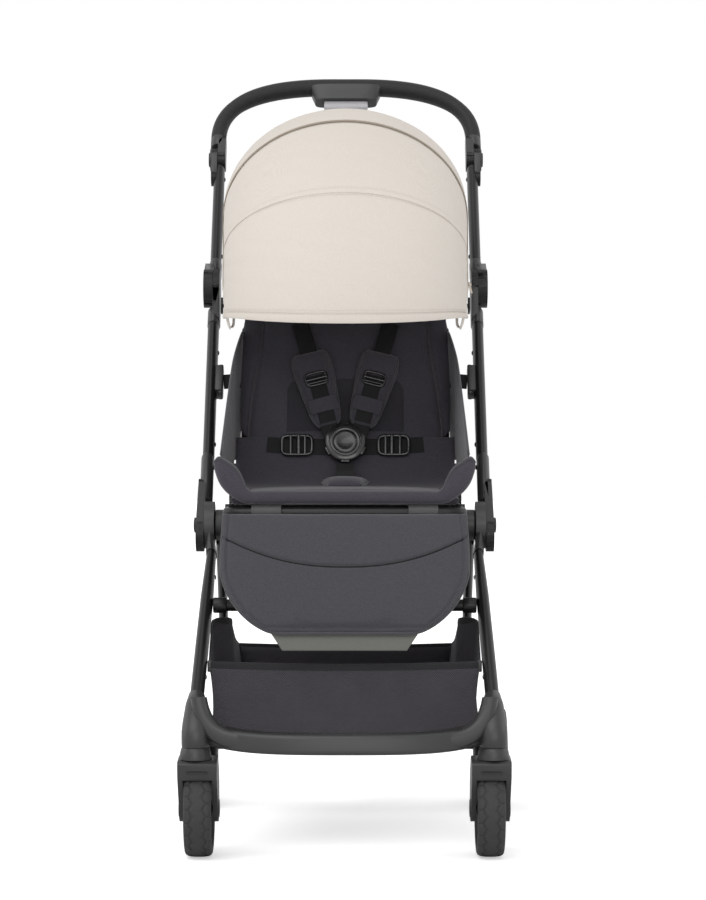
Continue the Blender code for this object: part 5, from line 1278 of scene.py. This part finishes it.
# Crotch pad and strap: a small piped pad round the strap that comes up through the cushion, its
# end clipped behind the buckle.
webbing = cloth("webbing", (0.005, 0.005, 0.006), (0.014, 0.014, 0.015), roughness=0.75, threads=800,
                fleck=900, weave_bump=0.6, crease_depth=0.0004, sheen=0.1)
crotch_place = local_frame(at(0.205, 0.4766), Vector((0, math.cos(0.12), math.sin(0.12))),
                           Vector((0, -math.sin(0.12), math.cos(0.12))))
pad = pad_shape(0.050, lambda v: 0.0235 + 0.010 * v, 0.004, crowned(0.004, 0.0085), 16, 12, 0.002)
cushion("crotch_cover", pad, crotch_place, seat_cloth, "front_frame", ("crotch_pad",),
        voxel=0.003, cap=0.002)
shape = bmesh.new()
outline = [Vector((x, y, 0.0024)) for x, y in (
    (-0.0235, 0.0), (0.0235, 0.0), (0.0285, 0.025), (0.0335, 0.050), (-0.0335, 0.050), (-0.0285, 0.025))]
cordage(shape, [crotch_place @ p for p in outline], 0.0011, closed=True)
finished("crotch_piping", shape, piping, "front_frame", (), sharp=180)
shape = bmesh.new()
strap_line = smooth_path([at(0.2552, 0.4842), at(0.276, 0.4915), at(0.299, 0.5005), at(0.317, 0.5100)], 16)
tape(shape, strap_line, Vector((0, -0.4, 0.9)), 0.0125, 0.0009, 14, 5.0)
crotch_webbing = finished("crotch_webbing", shape, webbing, "", ("crotch_strap",), sharp=60)
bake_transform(crotch_webbing)


# Seat bend: the seat cloth runs on from the cushion's rear edge up to the backrest's foot, over
# the hinge, so it is one sheet that bends where the backrest turns.
def cloth_sheet(name, rows, paint, nodes, thickness, sharp=180):
    """A sheet of cloth through rows of points, not hung on a body yet."""
    shape = bmesh.new()
    made = bmesh.ops.create_grid(shape, x_segments=len(rows[0]) - 1, y_segments=len(rows) - 1, size=1)
    for vert, point in zip(made["verts"], [point for row in rows for point in row]):
        vert.co = point
    return thickened(finished(name, shape, paint, "", nodes, sharp=sharp), thickness)


bend_line = smooth_path([at(0.282, 0.4745), at(0.300, 0.4760), at(0.315, 0.4812), at(0.325, 0.4900),
                         at(0.3312, 0.5020), at(0.3352, 0.5160), at(0.3395, 0.5310), at(0.3450, 0.5480)], 30)
rows = [[Vector((-0.1560 + 0.3120 * k / 44, p.y, p.z)) for k in range(45)] for p in bend_line]
seat_bend = cloth_sheet("seat_bend", rows, seat_cloth, (), 0.0016)
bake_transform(seat_bend)


# Back skirt: a piece of the seat cloth that closes the space behind the seat, from its rear tube
# up behind the hinge line of the backrest.
skirt_line = smooth_path([at(0.3502, 0.4470), at(0.3512, 0.4560), at(0.3580, 0.4740), at(0.3700, 0.4925),
                          at(0.3860, 0.5100)], 22)
columns = [-0.150 + 0.300 * k / 40 for k in range(41)]
rows = [[Vector((x, p.y + 0.0006 * math.sin(x * 90), p.z)) for x in columns] for p in skirt_line]
back_skirt = cloth_sheet("seat_back_skirt", rows, seat_cloth, ("back_skirt",), 0.0012)
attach(back_skirt, "front_frame")


# Backrest: a bent wire loop that hinges on the seat frame and carries the canopy. Its cushion is
# one stuffed panel of seat cloth with a bolster sewn along each side.
RECLINE_PIVOT = at(0.352, 0.500)
CANOPY_PIVOT = at(0.420, 0.740)
LEAN = math.radians(19)
BACK_ALONG = Vector((0, math.sin(LEAN), math.cos(LEAN)))
BACK_FRONT = Vector((0, -math.cos(LEAN), math.sin(LEAN)))


def on_back(distance, out=0.0, x=0.0):
    """A point beside the backrest wire: up along it, out to the front, and across."""
    spot = RECLINE_PIVOT + BACK_ALONG * distance + BACK_FRONT * out
    return Vector((x, spot.y, spot.z))


refined("backrest_wire", "backrest_frame", coated_tube, "backrest", 0.0)
BACK_LENGTH = 0.380
BACK_RIM = 0.008


def eased(value):
    """Runs smoothly from nought to one."""
    value = clamp(value)
    return value * value * (3 - 2 * value)


def back_half_width(v):
    return 0.1400 + 0.0138 * clamp((v - 0.075) / 0.045) - 0.0043 * clamp((v - 0.50) / 0.07) - 0.0012


def back_height(u, v):
    """Crowned, with a fuller middle above the inlay, where the shoulder pads lie on it."""
    y = v * BACK_LENGTH
    upper = clamp((y - 0.096) / 0.020) * clamp((0.245 - y) / 0.045)
    return crowned(BACK_RIM, 0.0092)(u, v) + 0.0066 * upper * math.exp(-(abs(u) / 0.62) ** 6)


def bolster_seam(y):
    """How far from the middle the seam of the side bolsters runs."""
    return 0.139 - 0.020 * eased((y / BACK_LENGTH - 0.08) / 0.50)


def back_sewn(x, y):
    seam_x = bolster_seam(y)
    across = groove(y - 0.262, 0.0025, 0.004) if abs(x) < seam_x else 0.0
    return groove(abs(x) - seam_x, 0.0050, 0.0042) + across


back_place = local_frame(on_back(0.012, 0.0063), BACK_ALONG, BACK_FRONT)
cushion("backrest_pad", pad_shape(BACK_LENGTH, back_half_width, BACK_RIM, back_height, 36, 46),
        back_place, seat_cloth, "backrest", ("backrest_cushion",), sewn=back_sewn,
        cap=0.0020)
shape = bmesh.new()
for side in (-1, 1):
    row = []
    for k in range(61):
        y = 0.012 + 0.356 * k / 60
        half = back_half_width(y / BACK_LENGTH)
        x = min(bolster_seam(y), half - 0.006)
        row.append(back_place @ Vector((side * x, y, back_height(x / half, y / BACK_LENGTH) - 0.0022)))
    cordage(shape, row, 0.0016)
finished("backrest_seam_cords", shape, piping, "backrest", (), sharp=180)


# Insert: a thin inlay on the middle of the backrest, under the harness.
insert_place = local_frame(on_back(0.024, 0.0), BACK_ALONG, BACK_FRONT)


def insert_out(x, y):
    """How far out the inlay's back lies: on the cushion below, and on its crown above."""
    out = 0.0063 + back_height(x / 0.150, (y + 0.012) / BACK_LENGTH) + 0.0006
    return out if y > 0.03 else min(out, 0.0186)


def insert_height(u, v):
    return 0.0028 + 0.0022 * math.sqrt(max(0.0, (1 - abs(u) ** 4) * min(1.0, 6 * max(0.0, v - 0.34))))


shape = pad_shape(0.104, lambda v: 0.084 - 0.012 * max(0.0, (v - 0.86) / 0.14) ** 2, 0.0028, insert_height,
                  24, 24, 0.0016)
for vert in shape.verts:
    vert.co.z += insert_out(vert.co.x, vert.co.y)
bmesh.ops.transform(shape, matrix=insert_place, verts=shape.verts)
finished("backrest_inlay", shape, inlay_cloth, "backrest", ("insert_pad",), sharp=60)


# Shoulder pads: two stuffed straps of seat cloth in a V, piped all round, each with a slider on
# its front and a loop below through which the webbing comes.
SHOULDER_LENGTH = 0.116
SHOULDER_RIM = 0.0045
shoulder_height = crowned(SHOULDER_RIM, 0.0078)
buckle_black = painted("buckle_black", (0.012, 0.012, 0.013), 0.24, grain=600, bump=0.04, patch=0.05,
                       coat=0.25)


def shoulder_half(v):
    return 0.0190 + 0.0085 * min(1.0, v / 0.7) - 0.0060 * (abs(2 * v - 1) ** 7)


def soft_square(half_width, half_height):
    """Points round a rectangle with rounded corners, as a moulded buckle frame has it."""
    turns = [2 * math.pi * k / 28 for k in range(28)]
    return [(half_width * signed_power(math.cos(a), 0.4),
             half_height * signed_power(math.sin(a), 0.4)) for a in turns]


for name, side in SIDES:
    lean_out = side * math.radians(15)
    along = (BACK_ALONG * math.cos(lean_out) + Vector((math.sin(lean_out), 0, 0))).normalized()
    place = local_frame(on_back(0.055, 0.0339, side * 0.0232), along, BACK_FRONT)
    pad = pad_shape(SHOULDER_LENGTH, shoulder_half, SHOULDER_RIM, shoulder_height, 16, 30, 0.0025)
    cushion(name + "_shoulder_cover", pad, place, seat_cloth, "backrest", (name + "_shoulder_pad",),
            voxel=0.0032, cap=0.002, sewn=lambda x, y: groove(y - 0.040, 0.0022, 0.0025))
    shape = bmesh.new()
    edge = [Vector((shoulder_half(v), v * SHOULDER_LENGTH, 0.0030))
            for v in (0.02 + 0.96 * k / 24 for k in range(25))]
    outline = edge + [mirror_x(p) for p in reversed(edge)]
    cordage(shape, [place @ p for p in outline], 0.0017, closed=True)
    finished(name + "_shoulder_piping", shape, piping, "backrest", (), sharp=180)
    shape = bmesh.new()
    upper = [(0.100 + 0.0064 * k, 0.0047 - 0.10 * max(0.0, 0.0064 * k - 0.025)) for k in range(11)]
    heights = [0.004 + 0.0072 * k for k in range(11)]
    front = [(y, shoulder_height(0, clamp(y / SHOULDER_LENGTH)) + 0.0014) for y in heights]
    lower = [(0.010 - 0.0030 * k, 0.0052) for k in range(9)]
    for line, half_width in ((upper, 0.0125), (front, 0.0120), (lower, 0.0120)):
        tape(shape, [place @ Vector((0, y, z)) for y, z in line], BACK_FRONT, half_width, 0.0008, 12, 5.0)
    finished(name + "_shoulder_webbing", shape, webbing, "backrest", (), sharp=60)
    shape = bmesh.new()
    cordage(shape, [place @ Vector((x, 0.0700 + y, 0.0150)) for x, y in soft_square(0.0150, 0.0092)], 0.0021,
            closed=True)
    for y, radius in ((0.0700, 0.0024), (0.0645, 0.0015)):
        cordage(shape, [place @ Vector((x, y, 0.0156)) for x in (-0.0150, -0.005, 0.005, 0.0150)], radius)
    finished(name + "_shoulder_slider", shape, buckle_black, "backrest", (), sharp=60)
    shape = bmesh.new()
    band = [place @ Vector((x, 0.030, shoulder_height(x / 0.023, 0.26) + 0.0032))
            for x in (-0.0205 + 0.0041 * k for k in range(11))]
    tape(shape, band, BACK_FRONT, 0.0105, 0.0010, 14, 5.0)
    finished(name + "_shoulder_loop", shape, seat_cloth, "backrest", (), sharp=60)


# Waist straps: one band of webbing across, its ends in ladder buckles with three bars.
shape = bmesh.new()
waist = [on_back(0.028 + 0.004 * (s ** 2), 0.0236 - 0.0014 * s ** 2, 0.112 * s)
         for s in (-1 + k / 20 for k in range(41))]
tape(shape, waist, BACK_FRONT, 0.0120, 0.0010, 14, 5.0)
finished("waist_webbing", shape, webbing, "backrest", ("waist_strap",), sharp=60)
shape = bmesh.new()
for side in (-1, 1):
    frame_line = [on_back(0.0300 + y, 0.0264, side * (0.069 + x)) for x, y in soft_square(0.0215, 0.0142)]
    cordage(shape, frame_line, 0.0026, closed=True)
    for x, radius in ((0.0575, 0.0024), (0.0665, 0.0032), (0.0780, 0.0024)):
        cordage(shape, [on_back(0.0300 + y, 0.0272, side * x) for y in (-0.0142, -0.005, 0.005, 0.0142)],
                radius)
finished("waist_buckles", shape, buckle_black, "backrest", (), sharp=60)


# Buckle: a glossy round housing with a raised ring and a sprung button, and the tongues of the
# four straps pushed into its rim.
buckle_place = local_frame(on_back(0.0310, 0.0297), BACK_ALONG, BACK_FRONT)


def turned_face(shape, place, profile, count=64):
    """A round piece in a pad's own frame, from (radius, height) pairs."""
    turn = place.to_3x3()
    skin(shape, [oval_ring(shape, place @ Vector((0, 0, height)), turn, radius, radius, count)
                 for radius, height in profile])


shape = bmesh.new()
turned_face(shape, buckle_place, [
    (0.0250, -0.0004), (0.0282, 0.0012), (0.0290, 0.0038), (0.0290, 0.0078), (0.0280, 0.0102),
    (0.0252, 0.0116), (0.0236, 0.0118), (0.0228, 0.0106), (0.0220, 0.0106), (0.0212, 0.0124),
    (0.0192, 0.0128), (0.0174, 0.0122), (0.0168, 0.0104), (0.0168, 0.0040),
])
for angle in (-64, 0, 64, 118, -118, 180):
    a = math.radians(angle)
    spot = buckle_place @ Vector((math.sin(a) * 0.0262, math.cos(a) * 0.0262, 0.0060))
    turn = buckle_place.to_3x3().to_4x4() @ Matrix.Rotation(-a, 4, "Z")
    soft_box(shape, block(spot, (0.0130, 0.0090, 0.0070), turn), 0.0014)
finished("buckle_housing", shape, buckle_black, "backrest", ("buckle",))
shape = bmesh.new()
turned_face(shape, buckle_place, [
    (0.0162, 0.0066), (0.0164, 0.0104), (0.0158, 0.0116), (0.0142, 0.0120), (0.0112, 0.0114),
    (0.0060, 0.0110), (0.0012, 0.0109),
])
finished("buckle_push", shape, buckle_black, "buckle_button", ("buckle_button",))


# Side panels: the seat cloth closed in at each side, stretched between the backrest, the seat
# and the recline strap, which holds them to the clip on the push tube.
def polyline(points, y):
    """The height of a bent line at a distance back."""
    for (y0, z0), (y1, z1) in zip(points, points[1:]):
        if y <= y1:
            return z0 + (z1 - z0) * (y - y0) / (y1 - y0)
    return points[-1][1]


def panel_x(y):
    """How far out the side cloth stands: out at the front, in against the backrest behind."""
    return 0.1548 + (0.400 - y) * 0.045 - 0.0060 * eased((y - 0.340) / 0.060)


PANEL_LOW = ((0.124, 0.4855), (0.300, 0.4705), (0.321, 0.5155), (0.372, 0.5160), (0.412, 0.690))
PANEL_HIGH = ((0.124, 0.5235), (0.150, 0.5430), (0.250, 0.6145), (0.330, 0.6620), (0.396, 0.7005),
              (0.412, 0.6905))
PANEL_COLUMNS = 48
PANEL_ROWS = 18
for name, side in SIDES:
    rows = []
    for k in range(PANEL_COLUMNS + 1):
        y = 0.124 + 0.288 * k / PANEL_COLUMNS
        low, high = polyline(PANEL_LOW, y), polyline(PANEL_HIGH, y)
        wave = 0.0006 * math.sin(math.pi * 3 * k / PANEL_COLUMNS)
        row = []
        for share in (j / PANEL_ROWS for j in range(PANEL_ROWS + 1)):
            x = panel_x(y) + wave * math.sin(math.pi * share)
            row.append(at(y, low + (high - low) * share, side * x))
        rows.append(row)
    panel = cloth_sheet(name + "_side_cloth", rows, seat_cloth, (name + "_side_panel",), 0.0014)
    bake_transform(panel)
    hem = bmesh.new()
    edge = [at(y, z, side * panel_x(y)) for y, z in PANEL_HIGH]
    cordage(hem, smooth_path(edge, 30), 0.0016)
    binding_line = finished(name + "_side_binding", hem, piping, "", (), sharp=180)
    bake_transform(binding_line)
    shape = bmesh.new()
    start = on_push(STRAP_CLIP, side * 0.1757)
    end = Vector((side * 0.1515, start.y + 0.001, start.z + 0.002))
    tape(shape, [start.lerp(end, k / 6) for k in range(7)], Vector((side * 0.3, 0.94, -0.35)), 0.0110, 0.0008,
         14, 5.0)
    finished(name + "_recline_webbing", shape, webbing, "backrest", (name + "_recline_strap",),
             sharp=60)


# Canopy bows: four flat black strips on one pin at each side, the rear one fixed to the backrest.
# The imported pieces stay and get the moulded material.
for name in ("canopy_rear_bow", "canopy_rear_middle_bow", "canopy_forward_middle_bow", "canopy_front_bow"):
    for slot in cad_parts[name].material_slots:
        slot.material = moulded_black


# Canopy: cream cloth in three panels, each sewn to the next over a bow, with a taupe binding in
# the seam behind and a wide stitched hem round the front bow.
CANOPY_RADIUS = 0.2865
CANOPY_HALF = 0.1782
CANOPY_SIDE = 0.48
CANOPY_SIDE_SHARE = 0.18
CANOPY_FOOT = 0.034
REACHES = ((-97.5, 1.0), (-90, 1.0), (-80, 0.998), (-70, 0.998), (-59.5, 1.0), (-44, 0.9975), (-28, 1.0),
           (-8, 0.9975), (12, 1.0), (19, 0.96), (26, 0.86), (33, 0.72))


def canopy_point(degrees, share, out=0.0):
    """A point on the canopy's outside: degrees of lean back, and a share of the arch across."""
    half = CANOPY_HALF * (1 - 0.055 * clamp((12 - degrees) / 108)) + out
    from_foot = min(share, 1 - share) / CANOPY_SIDE_SHARE
    radius = CANOPY_RADIUS + out
    if from_foot < 1:
        across = math.copysign(CANOPY_HALF + out + (half - CANOPY_HALF - out) * from_foot, share - 0.5)
        up = CANOPY_SIDE * radius * from_foot
    else:
        angle = math.pi * (share - CANOPY_SIDE_SHARE) / (1 - 2 * CANOPY_SIDE_SHARE)
        across = -math.cos(angle) * half
        up = radius * (CANOPY_SIDE + (1 - CANOPY_SIDE) * math.sin(angle))
    up *= polyline(REACHES, degrees)
    lean = math.radians(degrees)
    low = clamp((-78 - degrees) / 18) ** 2 * clamp((abs(2 * share - 1) - 0.40) / 0.50) ** 1.5
    return CANOPY_PIVOT + Vector((across, math.sin(lean) * up, math.cos(lean) * up - 0.015 * low))


def arch_share(k, count):
    """The share of the arch at one of the evenly spaced places between its feet."""
    return CANOPY_FOOT + (1 - 2 * CANOPY_FOOT) * k / count


def arch(degrees, out, count=120):
    return [canopy_point(degrees, arch_share(k, count), out) for k in range(count + 1)]


def arch_stitches(shape, degrees, out, beyond):
    """A row of stitches along an arch, facing the arch that lies further out."""
    row = arch(degrees, out, 160)
    stitches(shape, row, [far - near for far, near in zip(arch(degrees, beyond, 160), row)])


canopy_cloth = cloth("canopy_cloth", (0.57, 0.520, 0.468), (0.735, 0.682, 0.622), roughness=0.86,
                     threads=1300, fleck=620, crease=9, weave_bump=0.22, crease_depth=0.0014, sheen=0.08)
taupe_binding = cloth("taupe_binding", (0.235, 0.195, 0.150), (0.34, 0.29, 0.23), threads=1600, fleck=900)
cream_thread = painted("cream_thread", (0.52, 0.46, 0.40), 0.8, grain=2500, bump=0.05, specular=0.2)
CANOPY_PARTS = (
    ("canopy_rear_panel", 33.0, -28.0, "rear_middle_bow", 12.0, -28.0, 0.0, (0.62, 0.36)),
    ("canopy_middle_panel", -28.0, -59.5, "forward_middle_bow", -28.0, -59.5, 0.546, (0.62, 0.155)),
    ("canopy_front_panel", -59.5, -97.0, "front_bow", -59.5, -96.0, 0.60, (0.62, 0.18)),
)
for name, rear, front, bow, turn_from, turn_to, first_share, cut in CANOPY_PARTS:
    steps = max(10, round((rear - front) / 2))
    rows = []
    for j in range(steps + 1):
        degrees = rear + (front - rear) * j / steps
        slack = math.sin(math.pi * j / steps)
        row = []
        for share in (arch_share(k, 96) for k in range(97)):
            edge = abs(2 * share - 1)
            sag = 0.0005 * slack * (1 - edge ** 4)
            ripple = 0.0005 * math.sin(degrees * 0.9 + share * 40) * slack
            ripple += 0.0011 * edge ** 3 * math.sin(share * 95 + degrees * 0.06)
            row.append(canopy_point(degrees, share, -0.0009 - sag + ripple))
        rows.append(row)
    nodes = ("canopy_fabric",) if name == "canopy_rear_panel" else ()
    panel = cloth_sheet(name, rows, canopy_cloth, nodes, 0.0011)
    middle = math.radians((turn_from + turn_to) / 2)
    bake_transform(panel)
for name, bow, degrees, half_width, paint, lift, shifts in (
    ("canopy_rear_binding", "rear_middle_bow", -28.0, 0.0030, taupe_binding, 0.0004, (-1.1, 1.1)),
    ("canopy_front_seam", "forward_middle_bow", -59.5, 0.0040, canopy_cloth, -0.0003, (-1.4,)),
):
    shape = bmesh.new()
    line = arch(degrees, lift)
    facing = [far - near for far, near in zip(arch(degrees, 0.01), line)]
    tape(shape, line, facing, half_width, 0.0007, 10, 4.0)
    finished(name, shape, paint, bow, (), sharp=180)
    shape = bmesh.new()
    for shift in shifts:
        arch_stitches(shape, degrees + shift, 0.0003, 0.01)
    finished(name + "_stitches", shape, cream_thread, bow, (), sharp=180)
HEM_FOLD = ((-95.2, 0.0006), (-95.6, 0.0011), (-97.3, 0.0011), (-97.7, 0.0006), (-97.7, -0.0022),
            (-97.3, -0.0028), (-95.6, -0.0028))
rows = [arch(degrees, out) for degrees, out in HEM_FOLD]
hem = cloth_sheet("canopy_hem", rows, canopy_cloth, (), 0.0006, sharp=60)
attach(hem, "front_bow")
shape = bmesh.new()
for degrees in (-94.2, -95.4):
    arch_stitches(shape, degrees, 0.0014, 0.02)
finished("canopy_hem_stitches", shape, cream_thread, "front_bow", (), sharp=180)


# Canopy trims: a cream tie at each end of the hem, which loops round the bow, and the pull of the
# zip that opens the rear panel, at the right edge.
for name, side in SIDES:
    shape = bmesh.new()
    top = canopy_point(-95.8, 0.5 + side * 0.405, -0.0035)
    loop = smooth_path([top + Vector((-side * x, y, z)) for x, y, z in (
        (0, 0, 0), (0.002, 0.001, -0.010), (0.005, 0.003, -0.017), (0.009, 0.004, -0.013),
        (0.010, 0.004, -0.002))], 20)
    tape(shape, loop, Vector((side * 0.9, -0.4, 0)), 0.0045, 0.0006, 12, 4.0)
    finished(name + "_canopy_tie", shape, canopy_cloth, "front_bow", (), sharp=60)
shape = bmesh.new()
start = canopy_point(-29, 0.955, 0.0024)
end = start + Vector((0.0030, -0.0040, -0.0130))
tape(shape, [start.lerp(end, k / 8) for k in range(9)], Vector((0.7, -0.7, 0.1)), 0.0022, 0.0008, 12, 3.0)
pull_place = local_frame(start, (end - start), Vector((0.7, -0.7, 0.1)))
turned_face(shape, pull_place, [(0.0026, -0.0008), (0.0034, 0.0000), (0.0034, 0.0012), (0.0026, 0.0018)], 24)
finished("canopy_zip_pull", shape, cream_thread, "rear_middle_bow", (), sharp=60)


# Leg rest: a stiff board that hinges on the seat's front tube by two sleeves, covered in front by
# a padded panel with a curved seam and a piped edge. A near-black cord just below the seam is
# painted shadow under the fold of the upper panel. Its grey-green tongue shows below.
LEGREST_PIVOT = at(0.100, 0.446)
LEG_LEAN = math.radians(20)
LEG_UP = Vector((0, math.sin(LEG_LEAN), math.cos(LEG_LEAN)))
LEG_FRONT = Vector((0, -math.cos(LEG_LEAN), math.sin(LEG_LEAN)))
PAD_LENGTH = 0.1665
TONGUE_LENGTH = 0.1885
TONGUE_SHOWS = 0.022
PAD_RIM = 0.0040
leg_foot = LEGREST_PIVOT - LEG_UP * 0.1725
leg_crown = crowned(PAD_RIM, 0.0078)


def leg_half(v):
    """Half the pad's width at a share of its height: well rounded at the lower corners."""
    rounding = (1 - (1 - min(1.0, v * PAD_LENGTH / 0.090)) ** 1.7) ** (1 / 1.7)
    return 0.0855 + 0.0785 * rounding - 0.003 * max(0.0, (v - 0.7) / 0.3)


def tongue_half(v):
    above = v * TONGUE_LENGTH - TONGUE_SHOWS
    return 0.096 + (0.014 * above / TONGUE_SHOWS if above < 0 else 0.049 * min(1.0, above / 0.060))


board_green = cloth("board_green", (0.098, 0.101, 0.090), (0.160, 0.164, 0.148), threads=1500, fleck=760,
                    crease=22, sheen=0.1)
leg_cloth = cloth("leg_cloth", (0.030, 0.030, 0.034), (0.078, 0.077, 0.088), threads=1300, fleck=560,
                  crease=13, crease_depth=0.0016, sheen=0.25)
shape = pad_shape(TONGUE_LENGTH, tongue_half, 0.0030, lambda u, v: 0.0030, 24, 26, 0.0012)
tongue_place = local_frame(leg_foot - LEG_UP * TONGUE_SHOWS + LEG_FRONT * 0.0075, LEG_UP, LEG_FRONT)
bmesh.ops.transform(shape, matrix=tongue_place, verts=shape.verts)
finished("legrest_tongue", shape, board_green, "legrest", ("legrest_board",), sharp=60)
shape = bmesh.new()
for name, side in SIDES:
    for low, high, radius in ((0.085, 0.125, 0.0104), (0.085, 0.0885, 0.0107), (0.1215, 0.125, 0.0107)):
        sleeve = [(low, 0.0075), (low, radius - 0.0006), (low + 0.0006, radius), (high - 0.0006, radius),
                  (high, radius - 0.0006), (high, 0.0075)]
        turned_ring(shape, [(side * x, r) for x, r in sleeve], LEGREST_PIVOT, 48)
finished("legrest_sleeves", shape, moulded_black, "legrest", ())
leg_place = local_frame(leg_foot + LEG_FRONT * 0.0108, LEG_UP, LEG_FRONT)


def leg_seam(x):
    """The curved seam's height above the foot of the pad, at a place across."""
    return PAD_LENGTH * (0.540 + 0.240 * (abs(x) / 0.156) ** 2.3)


def leg_sewn(x, y):
    above = y - leg_seam(x)
    flap = -0.0015 / (1 + math.exp(-above / 0.0010))
    rim = min(leg_half(clamp(y / PAD_LENGTH)) - abs(x), y)
    return groove(above + 0.0012, 0.0030, 0.0020) + flap + groove(rim - 0.0075, 0.0022, 0.0020)


def along_seam(half, shift, lift):
    """A line across the pad beside its curved seam, above the cloth by a lift."""
    row = []
    for k in range(121):
        x = half * (k / 60 - 1)
        y = leg_seam(x) + shift
        out = leg_crown(x / leg_half(min(1.0, y / PAD_LENGTH)), y / PAD_LENGTH) - leg_sewn(x, y) + lift
        row.append(leg_place @ Vector((x, y, out)))
    return row


pad = pad_shape(PAD_LENGTH, lambda v: leg_half(v) + 0.0012, PAD_RIM, leg_crown, 36, 30, 0.003)
cushion("legrest_cover", pad, leg_place, leg_cloth, "legrest", ("legrest_pad",),
        voxel=0.0031, cap=0.003, sewn=leg_sewn)
edge = [Vector((leg_half(v), v * PAD_LENGTH, 0.0028)) for v in (k / 60 for k in range(61))]
around = [mirror_x(p) for p in reversed(edge)]
around += [Vector((edge[0].x * t, 0.0, 0.0028)) for t in (-0.8, -0.4, 0.0, 0.4, 0.8)] + edge
shape = bmesh.new()
cordage(shape, [leg_place @ p for p in smooth_path(around, 150)], 0.0023, 12)
finished("legrest_piping", shape, piping, "legrest", (), sharp=180)
shape = bmesh.new()
for shift in (0.0030, 0.0062):
    stitches(shape, along_seam(0.156, shift, 0.0006), LEG_FRONT)
finished("legrest_stitches", shape, seat_thread, "legrest", (), sharp=180)
# A near-black cord just below the curved seam: painted shadow under the edge of the upper panel's fold.
shape = bmesh.new()
cordage(shape, along_seam(0.158, -0.0012, 0.0024), 0.0017)
finished("legrest_seam_shadow_cord", shape, webbing, "legrest", (), sharp=180)
